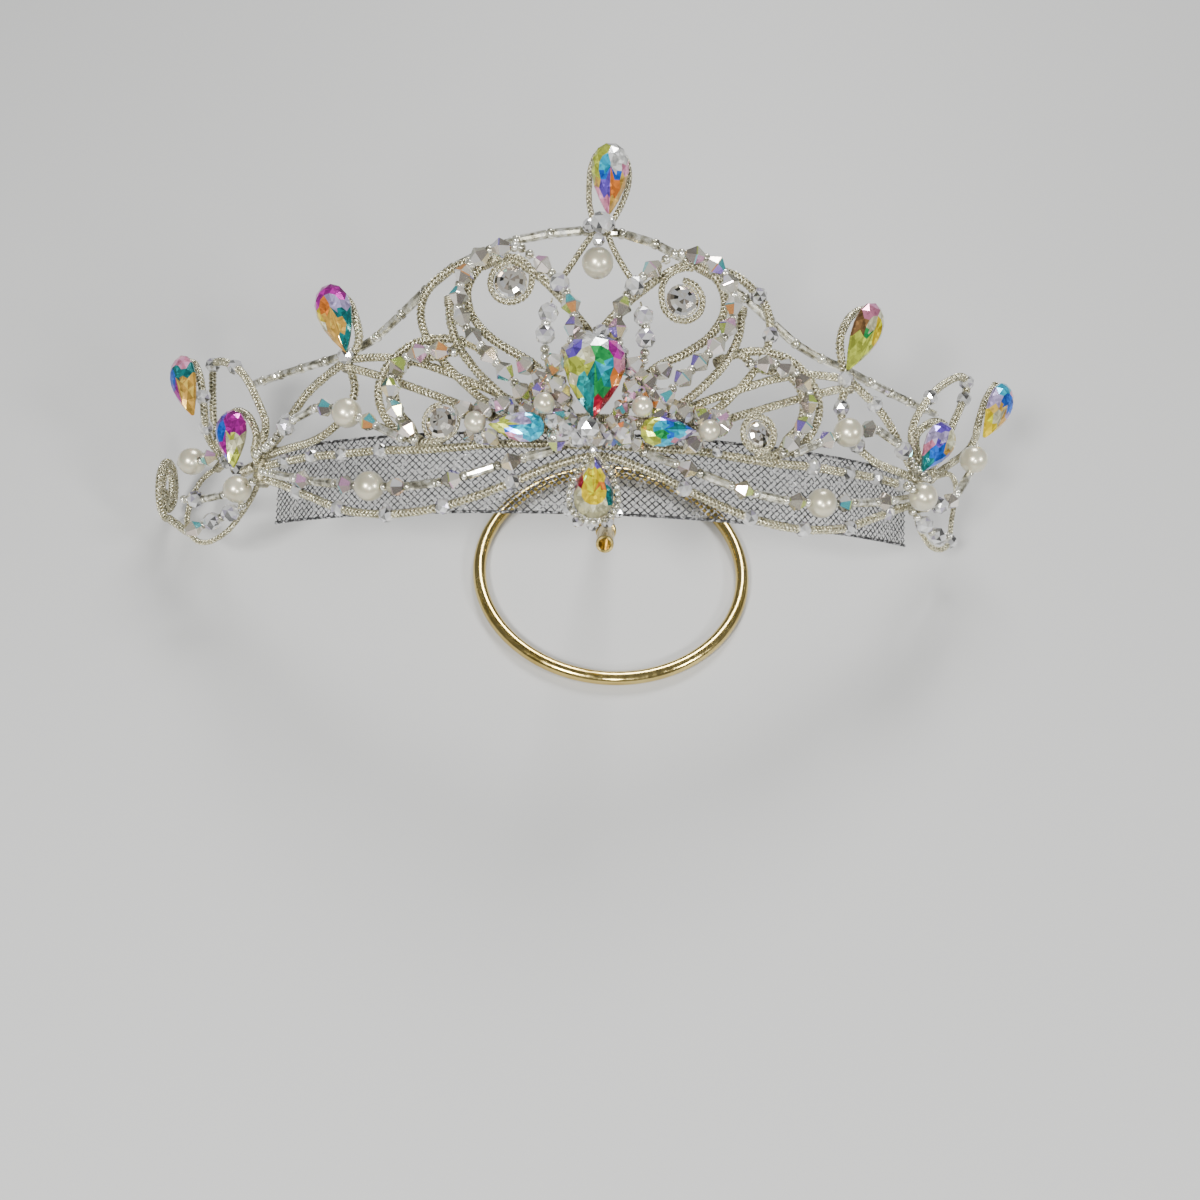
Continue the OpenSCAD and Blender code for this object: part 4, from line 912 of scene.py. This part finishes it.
BEAD_ROWS = [(77.4, 10.8, 1.6, PLAIN), (69, 8.8, 1.6, TUBE), (63.4, 7.6, 1.6, CONE),
             (57.5, 6.6, 1.6, TUBE), (51.6, 5.8, 1.6, CONE), (45.8, 5, 1.6, PEARL),
             (39.8, 4.7, 1.6, CONE), (33.8, 4.8, 1.6, TUBE), (28, 5.8, 1.6, CONE),
             (22.3, 7.5, 1.6, TUBE), (16.6, 9.3, 1.6, CONE), (11, 10.8, 1.8, TUBE),
             (7.4, 11.9, 1.9, PLAIN)]
STRINGS = [(middle, CURL_ROWS), (middle, INNER_ROWS), (middle, ROUND_ROWS),
           (leant, LOW_CURL_ROWS), (leant, PEARL_ROWS), (leant, BEAD_ROWS)]
LEAF_STRINGS = {
    "left": [
        [(77.2, 8.9, 2.6, PLAIN), (81.1, 6.5, 4.6, PEARL), (89.2, 5.7, 6, TUBE),
         (94.9, 5.8, 8.2, GLASS), (99.5, 6.4, 9.4, PLAIN)],
        [(81.1, 4.2, 2.6, PLAIN), (81.8, 1.5, 5.6, GLASS), (87.6, 0.6, 6.6, GLASS),
         (88.7, -1.6, 10.4, CONE), (88.9, -2.6, 12.4, PLAIN)],
        [(97.5, 13.9, 11.2, PLAIN), (93.3, 13.7, 10, PEARL), (88.3, 13.8, 8, CONE),
         (86.9, 14.4, 6.4, PLAIN)]],
    "right": [
        [(64.9, 11, 5.4, PLAIN), (70.1, 9.4, 6.2, PEARL), (77, 7.1, 6, GLASS),
         (81.3, 9.8, 6.4, CONE), (85.1, 13.6, 7.4, TUBE), (87.9, 20.1, 9.2, PEARL),
         (86, 23.1, 10.2, PLAIN)],
        [(72.1, 7.2, 1.8, PLAIN), (75.2, 4.3, 3.2, GLASS), (82.8, 1.6, 3.2, GLASS),
         (89.3, 3.6, 2.6, PLAIN)]],
}

# %% Beads threaded on the long wires
WIRE_BEAD = 3.4


def wire_beads(side):
    """Round crystals where the two long wires pass their places."""
    found = []
    for rows, spots in ((MIDDLE_ROUTE, (44.5, 54, 62.3, 71)),
                        (BOTTOM_ROUTE, (16.5, 30.2, 42.4, 54.3, 66.2))):
        line = route(on_side(rows, side))
        for spot in spots:
            i = min(range(len(line)), key=lambda k: abs(
                abs(math.atan2(line[k].x, -line[k].y)) * HEAD_R - spot))
            found.append(posed(leant, line[i], line[i + 1] - line[i - 1], WIRE_BEAD / 2))
    return found

# %% Every bead of both sides
NODES_OF = {"crystals": ("curl_beads", "inner_beads"), "round_crystals": ("wire_beads",),
            "pearls": ("pearl_strand", "bead_strand", "leaf_beads"), "tubes": (), "seeds": (),
            "threads": ("strand_threads", "leaf_threads")}
for number, (label, side) in enumerate(SIDES.items()):
    sorts = {CONE: [], TUBE: [], PEARL: [], GLASS: [], "seed": []}
    threads = []
    for frame_of, rows in STRINGS + [(leant, rows) for rows in LEAF_STRINGS[label]]:
        path, found = string_of(on_side(rows, side))
        threads.append(([frame_of @ p for p in path], 1.0))
        for kind, p, d, size in found:
            sorts[kind].append(posed(frame_of, p, d, size))
    glass = [(p, d, LENGTH[GLASS] / 2) for p, d, _ in sorts[GLASS]] + wire_beads(side)
    for word, kind, places, slot in (
            ("crystals", cone, sorts[CONE], "clear_glass"),
            ("round_crystals", round_glass, glass, "clear_glass"),
            ("pearls", pearl, sorts[PEARL], "pearl"),
            ("tubes", tube, sorts[TUBE], "tube_glass"),
            ("seeds", seed, sorts["seed"], "tube_glass")):
        made = beads(f"{word}_{label}", kind, places, 10 * number + len(word))
        settle(made, slot, *(f"{node}_{label}" for node in NODES_OF[word]))
    settle(twined("threads_" + label, threads, 0.16, 0.07), "thread",
           *(f"{node}_{label}" for node in NODES_OF["threads"]))

# %% [markdown]
# ## Top strand
# Tube beads and seeds follow one long line over the whole front. The tubes stand at even
# steps, with one round seed between each two.

# %% Top strand
TOP_ROUTE = [(-92, 32, -1), (-79, 31.8, -1), (-66, 32.6, -1.8), (-56, 33.8, -2.4),
             (-49, 36.2, -2.4), (-41.6, 41.4, -2.4), (-33, 48.2, -2.4), (-24, 52.2, -2.4),
             (-14.5, 54.4, -1.4), (-2, 55, 0.4), (7, 54.2, -0.6), (13, 52.6, -1.8),
             (20, 49.8, -2.4), (30, 45, -2.4), (40, 38.4, -2.4), (47, 36, -2.4),
             (56, 34.6, -2.4), (66, 32.6, -1.8), (79, 31.4, -1), (92, 31.8, -1)]
TOP_PITCH = 7
line = route(TOP_ROUTE, 3)
sums = [0.0]
for a, b in zip(line, line[1:]):
    sums.append(sums[-1] + (b - a).length)


def at_length(s):
    i = max(k for k in range(len(line) - 1) if sums[k] <= s or k == 0)
    return line[i] + (line[i + 1] - line[i]) * (s - sums[i]) / (sums[i + 1] - sums[i])


def on_top(s, length, size):
    """A bead with its middle at a length along the strand."""
    a, b = at_length(s - length / 2), at_length(s + length / 2)
    return posed(leant, (a + b) / 2, b - a, size)


count = int(sums[-1] / TOP_PITCH)
spots = [sums[-1] / 2 + (i - (count - 1) / 2) * TOP_PITCH for i in range(count)]
settle(beads("top_tubes", tube, [on_top(s, TUBE_L, 1.0) for s in spots], 41),
       "tube_glass", "top_strand")
settle(beads("top_seeds", seed, [on_top(s - TOP_PITCH / 2, 1, 1.1) for s in spots[1:]], 42),
       "tube_glass")
settle(twined("top_line", [([leant @ p for p in line], 1.0)], 0.13, 0.06), "thread", "top_thread")

# %% [markdown]
# ## Clusters in the middle
# Pearls, round crystals and tiny beads crowd round the large stone. The named ones keep
# their places from the solid model.

# %% Middle clusters
CENTRE_PEARLS = [(-8.4, 19, 8, 4), (8.4, 19, 8, 4), (-21, 16, 5.6, 4.2), (21, 16, 5.6, 4.2)]
CENTRE_ROUND = [(-2.3, 13.4, 4.8, 4), (2.3, 13.4, 4.8, 4), (-6.4, 13.4, 4.4, 3.4),
                (6.4, 13.4, 4.4, 3.4), (0.4, 11.1, 4.6, 1.8)]
CROWN_ROUND = [(-1.7, 53.4, 7, 2.8), (1.7, 53.8, 7.1, 2.8), (0, 50.8, 6.6, 2.6)]
FRONT_ROUND = [(0.4, 53.2, 9.2, 4.2), (-0.6, 14.6, 8.2, 4.6)]
DROP_ROUND = [(-3.8, -0.4, 4.6, 2.4), (-2, -2.4, 4.6, 2.4), (0.6, -3, 4.6, 2.4),
              (3.2, -2.4, 4.6, 2.4), (5, -0.4, 4.6, 2.4)]
upright = middle.to_3x3() @ Vector((0, 0, 1))


def spots_of(rows, unit):
    return [(middle @ shell(row), upright, row[3] / unit) for row in rows]


settle(beads("pearls_middle", pearl, spots_of(CENTRE_PEARLS + [(0, 46.3, 6.8, 6)], 6), 51),
       "pearl", "crown_pearl", "centre_beads")
settle(beads("round_crystals_middle", round_glass,
             spots_of(CENTRE_ROUND + CROWN_ROUND + FRONT_ROUND + DROP_ROUND, 2), 52),
       "clear_glass", "crown_beads", "drop_beads")

# %% [markdown]
# ## Sewn beads
# More round crystals are sewn to the bent wires, and a crowd of small beads of all kinds
# fills the heart of the tiara round the foot of the large stone. Their places are thrown
# with a fixed seed, and what would touch a stone or a pearl is thrown again.

# %% Sewn beads
SEWN = [(-53, 32, 1.6), (-100.9, 37.9, 4), (-88.1, 34.8, 3.4), (-92.9, 28.2, 8.3),
        (-97.3, 22.6, 5.8), (-70.7, 20.9, 0.2), (-89.1, 12.8, 1), (-93.6, 15, 1.8),
        (51.4, 31.2, 1.4), (31.1, 45.2, 0.2), (33.8, 37.7, 0.2), (51.6, 25.6, 0.2),
        (61.5, 28, 0.2), (55.8, 18.4, 0.6), (78, 32.3, 3), (97.7, 40.2, 3.8), (96.3, 36, 3.6),
        (97.7, 3.7, 0.3)]
SEWN_D = 3.5
settle(beads("round_crystals_sewn", round_glass,
             [posed(leant, shell(row), Vector((0, 0, 1)), SEWN_D / 2) for row in SEWN], 61),
       "clear_glass")

# %% The crowd of small beads in the heart
HEART_CONES = [(12.8, 21.6, 6.2), (11.6, 18.2, 5.4), (16.2, 19.4, 5), (19.8, 18.6, 5),
               (6.6, 22.8, 6.2), (7, 27.2, 6.4), (9.6, 24.4, 5.6), (12.4, 26.8, 5.2),
               (18.2, 13.2, 5), (23.6, 18.8, 4.6)]
# Circles of place, height and radius that belong to the stones and the pearls.
KEEP_OFF = both_sides([(0.6, 4.1, 6), (13.4, 15, 3.6), (10.6, 15, 3.6), (16.4, 15, 3.2),
                       (8.4, 19, 2.4), (21, 16, 2.4)]) + [(0, 25, 6.2), (0, 20, 4.4)]
CROWD, HALF_WIDTH, SPREAD = 170, 24, 11
FOOT_HEIGHT, EDGE_RISE, PEAK_RISE, PEAK_WIDTH = 12.4, 7, 15, 9
dice = random.Random(7)
crowd = {CONE: [(middle @ shell((side * s, h, out)), Vector((side, 0.2, 1.2)), 1)
                for side in SIDES.values() for s, h, out in HEART_CONES], GLASS: [], "seed": []}
while sum(map(len, crowd.values())) < CROWD:
    s = dice.gauss(0, SPREAD)
    h = FOOT_HEIGHT + dice.random() * (EDGE_RISE + PEAK_RISE * math.exp(-(s / PEAK_WIDTH) ** 2))
    if abs(s) > HALF_WIDTH or any(math.dist((s, h), (x, y)) < r for x, y, r in KEEP_OFF):
        continue
    out = dice.uniform(3.4, 6.8) - 0.05 * abs(s)
    lean_way = Vector((dice.gauss(0, 1), dice.gauss(0, 1), dice.gauss(0, 1)))
    kind, size = dice.choice([(CONE, 1), (CONE, 0.8), (CONE, 0.65), (GLASS, 1.5), (GLASS, 1.1),
                              ("seed", 1.2)])
    crowd[kind].append((middle @ shell((s, h, out)), lean_way, size))
for kind, word, model in ((CONE, "crystals_heart", cone),
                          (GLASS, "round_crystals_heart", round_glass),
                          ("seed", "seeds_heart", seed)):
    settle(beads(word, model, crowd[kind], 71 + len(word)), "clear_glass")

# %% [markdown]
# ## Cut stones
# A pear stone has a flat table, a ring of facets round it, a thin girdle and a foiled
# back. Seen from the front, the back facets show through the table as a patchwork of
# strong colours. Here the table is split into the same patches, each tilted by a hair,
# and every facet stores its own tone. The tones were chosen for each stone.

# %% Pear stone
STONE_SIDES = 16
# Height over the depth, size over the girdle, and turn in facets, from the back to the table.
STONE_LEVELS = [(-0.5, 0.3, 0), (-0.12, 0.97, 0.5), (-0.06, 1, 0.5), (0.06, 1, 0.5),
                (0.32, 0.84, 0), (0.47, 0.62, 0.5), (0.5, 0.34, 0)]
PEAR_FULLEST = 0.77  # the largest value that sin(t) * sin(t / 2) takes
STONE_DEPTH, TABLE_UP, TABLE_HEIGHT = 0.6, 0.12, 0.51
# A share of the facets is painted brighter than its tone: painted highlights.
TABLE_SHARE, PAINTED_HIGHLIGHT_SHARE, PAINTED_HIGHLIGHT = 0.36, 0.12, 1.3
BACK_TONE = (0.55, 0.55, 0.53)


def pear(length, width, scale, turn):
    """A pear outline with its round end up."""
    return [(scale * width / 2 / PEAR_FULLEST * math.sin(t) * math.sin(t / 2),
             -scale * length / 2 * math.cos(t))
            for t in (math.tau * (k + turn) / STONE_SIDES for k in range(STONE_SIDES))]


def stone_mesh(length, width, depth):
    """Rings of points joined by facets, with a point in the middle of the table."""
    points, faces, n = [], [], STONE_SIDES
    for height, scale, turn in STONE_LEVELS:
        points += [(x, y, height * depth) for x, y in pear(length, width, scale, turn)]
    for level, (here, above) in enumerate(zip(STONE_LEVELS, STONE_LEVELS[1:])):
        low, high = level * n, level * n + n
        for k in range(n):
            m = (k + 1) % n
            if here[2] == above[2]:
                faces.append((low + k, low + m, high + m, high + k))
            elif here[2] == 0:
                faces += [(low + k, low + m, high + k), (low + m, high + m, high + k)]
            else:
                faces += [(low + k, high + m, high + k), (low + k, low + m, high + m)]
    last = len(points) - n
    faces += [(last + k, last + (k + 1) % n, len(points)) for k in range(n)]
    points.append((0, TABLE_UP * length, TABLE_HEIGHT * depth))
    return points, faces + [tuple(range(n - 1, -1, -1))]


def pear_stone(name, length, width, frame_of, rim, table, number):
    """rim: tones clockwise from the round end; table: tones of the inner patches."""
    depth = STONE_DEPTH * width
    points, faces = stone_mesh(length, width, depth)
    stone = mesh_object(name, points, faces, stone_fire, frame_of)
    dice = random.Random(number)
    tones = []
    for face in faces:
        x, y, z = sum((Vector(points[i]) for i in face), Vector()) / len(face)
        inner = (abs(x) / (width / 2)) ** 2 + (abs(y) / (length / 2)) ** 2 < TABLE_SHARE
        patches = table if inner else rim
        around_stone = (math.atan2(x, y) % math.tau) / math.tau
        tone = patches[int(around_stone * len(patches)) % len(patches)]
        if z < -0.1 * depth:
            tone = BACK_TONE
        # Every facet is made a little darker or brighter at random, and some are painted bright as
        # highlights.
        light = dice.uniform(0.72, 1.1) if dice.random() > PAINTED_HIGHLIGHT_SHARE else PAINTED_HIGHLIGHT
        tones += [min(1.0, c * light) ** 1.6 for c in tone] + [1.0]
    stone.data.attributes.new("tone", "FLOAT_COLOR", "FACE").data.foreach_set("color", tones)
    return stone


WHITE, GREY, CREAM = (0.93, 0.93, 0.9), (0.6, 0.62, 0.62), (0.86, 0.84, 0.62)
BROWN, LIME, GREEN = (0.45, 0.3, 0.16), (0.72, 0.78, 0.2), (0.08, 0.55, 0.22)
TEAL, CYAN, BLUE = (0.03, 0.4, 0.4), (0.05, 0.66, 0.85), (0.06, 0.3, 0.85)
VIOLET, LILAC, MAGENTA = (0.32, 0.22, 0.72), (0.7, 0.62, 0.86), (0.6, 0.06, 0.5)
PINK, CRIMSON, ORANGE = (0.9, 0.45, 0.6), (0.6, 0.03, 0.12), (0.95, 0.42, 0.12)
GOLD, YELLOW = (0.85, 0.6, 0.2), (1.0, 0.82, 0.04)

# %% [markdown]
# ### The stones and their tones
# Each row: node, length, width, frame, tones round the rim, tones of the table.

# %% All pear stones
def side_seat(place, face, lean, turn, side):
    """A stone's frame on one side, with a facing, lean and turn of its own."""
    return (leant @ Matrix.Translation(shell((side * place[0], *place[1:])))
            @ Matrix.Rotation(math.radians(side * face), 4, "Z")
            @ Matrix.Rotation(math.pi / 2, 4, "X")
            @ Matrix.Rotation(math.radians(side * lean), 4, "Z")
            @ Matrix.Rotation(math.radians(side * turn), 4, "Y"))


DROP_PLACE = (0.6, 4.1, 4.4)
PEAR_STONES = [
    ("centre_stone", 16, 11.6, middle @ seat((0, 24.4, 7.8)),
     [GREY, MAGENTA, PINK, ORANGE, CRIMSON, CRIMSON, TEAL, LIME, CREAM, LIME, VIOLET, WHITE],
     [GREEN, CYAN, TEAL, GREEN, TEAL, TEAL, LIME, CREAM]),
    ("side_stone_left", 10.8, 5.8, middle @ seat((-13.4, 15, 6.4), -94),
     [CYAN, LILAC, PINK, LIME, LILAC, GREY, LILAC, CYAN], [CYAN, BLUE, LIME, WHITE, LILAC]),
    ("side_stone_right", 10.8, 5.8, middle @ seat((13.4, 15, 6.4), 94),
     [LIME, VIOLET, VIOLET, BLUE, LILAC, PINK, CYAN, LIME], [CYAN, BLUE, TEAL, CYAN, BLUE, GREEN]),
    ("drop_stone", 11.8, 7.6, middle @ seat(DROP_PLACE, 180),
     [CREAM, CREAM, CRIMSON, CREAM, VIOLET, LILAC, TEAL, CREAM],
     [YELLOW, YELLOW, YELLOW, YELLOW, ORANGE, YELLOW]),
    ("crown_stone", 14.4, 7.2, middle @ seat((CROWN_SHIFT, 63.2, 5.2)),
     [WHITE, PINK, GOLD, GOLD, PINK, GOLD, LIME, LIME], [WHITE, BLUE, ORANGE, VIOLET, BLUE, CYAN]),
    ("tine_stone_left", 15.5, 7.4, side_seat((54.5, 39.3, 3.2), 24, -20.9, -13.4, -1),
     [MAGENTA, LILAC, TEAL, TEAL, GOLD, CREAM, YELLOW, MAGENTA],
     [LILAC, TEAL, GOLD, GOLD, GOLD, ORANGE]),
    ("tine_stone_right", 15.5, 7.4, side_seat((54.3, 40, 3.2), 10, -24.1, 27.2, 1),
     [CREAM, GREEN, PINK, LIME, LIME, LIME, BROWN, PINK],
     [YELLOW, YELLOW, LIME, LIME, GREEN, CREAM]),
    ("leaf_stone_left", 12.6, 7.2, side_seat((82.3, 17.5, 6), 24, -6.5, -4.3, -1),
     [MAGENTA, MAGENTA, CREAM, LIME, VIOLET, VIOLET, BLUE, VIOLET],
     [MAGENTA, LIME, CREAM, MAGENTA, BLUE, BLUE]),
    ("leaf_stone_right", 12.6, 7.2, side_seat((75.1, 20.2, 6), 20, -32.9, 6.3, 1),
     [CREAM, GOLD, VIOLET, BLUE, TEAL, PINK, LILAC, VIOLET],
     [CREAM, GOLD, BLUE, BLUE, VIOLET, LILAC]),
    ("outer_stone_left", 14.8, 7.2, side_seat((93.3, 30, 12), 36, -22.7, 3.4, -1),
     [PINK, TEAL, GOLD, GOLD, ORANGE, VIOLET, VIOLET, MAGENTA],
     [TEAL, GOLD, GOLD, MAGENTA, VIOLET, BLUE]),
    ("outer_stone_right", 14.8, 7.2, side_seat((92, 31.2, 12), 30, -30.5, 9.1, 1),
     [PINK, PINK, MAGENTA, YELLOW, YELLOW, GOLD, LILAC, CYAN],
     [BLUE, LILAC, GOLD, CREAM, GOLD, BLUE]),
]
for number, (node, length, width, pose, rim, table) in enumerate(PEAR_STONES):
    settle(pear_stone("cut_" + node, length, width, pose, rim, table, number), "cut_stone", node)

# %% [markdown]
# ## Frame of the drop
# A very fine wire and a row of seed beads run round the hanging drop, just outside its edge.

# %% Frame of the drop
at = middle @ seat(DROP_PLACE, 180)
WIRE_LEVEL, HAIR_WIRE, SEED_LEVEL, SEED_PITCH, TINY_SEED = 0.6, 0.42, 1.4, 1.45, 0.62
edge = [at @ Vector((x, y, WIRE_LEVEL)) for x, y in pear(13.4, 9.4, 1, 0)]
settle(braided("drop_frame_wire", [(smooth(edge + edge[:1], 0.5), HAIR_WIRE)]), "wound_wire")
row = [at @ Vector((x, y, SEED_LEVEL)) for x, y in pear(13.2, 9.2, 1, 0)]
row = smooth(row[2:-1], SEED_PITCH)
settle(beads("drop_frame_seeds", seed, [(p, q - p, TINY_SEED) for p, q in zip(row, row[1:])], 83),
       "clear_glass")

# %% [markdown]
# ## Rosettes
# Four round stones sit inside a coil of the braided wire, which is finer round the low one
# on the left. The stone is clear over foil. Each row: node, place, width, frame, which way
# the coil runs, its thickness, its turns, and how far its end flares out and drops.

# %% Rosettes
ROSETTES = [("upper_rosette_left", (-15.4, 42.8, 5.7), 6.4, middle, -1, 1.25, 1.05, 1.5, -1.6),
            ("upper_rosette_right", (15.4, 40.4, 5.7), 6.4, middle, 1, 1.25, 1.05, 3.2, -1.6),
            ("lower_rosette_left", (-29.7, 16.6, 3.8), 6.3, leant, -1, 0.7, 1.1, 0.2, -1.4),
            ("lower_rosette_right", (29.7, 16.6, 3.8), 5.2, leant, 1, 1.25, 1.5, 0.3, -1.4)]
TURN_STEPS, FLARE_SHARE, COIL_GAP, COIL_SLACK, COIL_LEVEL = 80, 0.3, 0.025, 0.25, 0.3


def round_stone(name, width, frame_of, number):
    half = width / 2
    profile = [(0, -1.6), (0.3 * half, -1.6), (0.97 * half, -0.15), (half, 0), (half, 0.3),
               (0.8 * half, 0.8), (0.6 * half, 1.15), (0.36 * half, 1.4), (0, 1.42)]
    return facets(mesh_object(name, *turned(profile, 14, 0.1), foiled_clear, frame_of), number)


for number, row in enumerate(ROSETTES):
    node, place, width, frame_of, way, thick, turns, flare, drop = row
    at = frame_of @ seat(place)
    coil = []
    for k in range(TURN_STEPS + 1):
        share = k / TURN_STEPS
        a, late = math.tau * turns * share, max(0, share - (1 - FLARE_SHARE)) / FLARE_SHARE
        r = (width + thick) / 2 + COIL_GAP + COIL_SLACK * share + flare * late ** 1.5
        height = COIL_LEVEL + drop * late ** 1.5
        coil.append(at @ Vector((way * r * math.sin(a), r * math.cos(a), height)))
    ring = braided("ring", [(coil, thick / WIRE_D)])
    settle(joined("coiled_" + node, [round_stone("stone", width, at, number), ring]),
           "cut_stone", node)

# %% [markdown]
# ## Studio
# A pale floor and soft lights. Crystals need something bright and something dark to
# reflect, so the sky is a quiet grey and the lights are few.

# %% Floor, sky and lights
FLOOR_HALF = 1500
floor_finish = material("floor_paint", Base_Color=(0.48, 0.48, 0.47, 1), Roughness=0.55)[0]
floor = mesh_object("floor", [(x * FLOOR_HALF, y * FLOOR_HALF, 0) for x, y in (
    (-1, -1), (1, -1), (1, 1), (-1, 1))], [(0, 1, 2, 3)], floor_finish)
scene.collection.objects.link(floor)
floor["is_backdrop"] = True

world = bpy.data.worlds.new("studio")
world.use_nodes = True
fill(world.node_tree, world.node_tree.nodes["Background"],
     {"Color": (0.8, 0.82, 0.85, 1), "Strength": 0.22})
scene.world = world

LIT_POINT = Vector((0, 0, 0.04))
for name, where, size, power in (("key_light", (-0.35, -0.55, 0.7), 0.2, 11),
                                 ("fill_light", (0.6, -0.35, 0.5), 0.16, 4),
                                 ("back_light", (0.1, 0.6, 0.6), 0.3, 6),
                                 ("front_light", (0.05, -0.5, 0.35), 0.08, 1.5)):
    data = bpy.data.lights.new(name, "AREA")
    data.shape, data.size, data.energy = "DISK", size, power
    light = bpy.data.objects.new(name, data)
    light.location = where
    light.rotation_euler = (LIT_POINT - light.location).to_track_quat("-Z", "Y").to_euler()
    scene.collection.objects.link(light)

# %% [markdown]
# ## Size of the dressed tiara
# The size of the dressed tiara is found from the bounds of every shown piece, leaving out the
# floor.

# %% Finish
low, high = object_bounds()
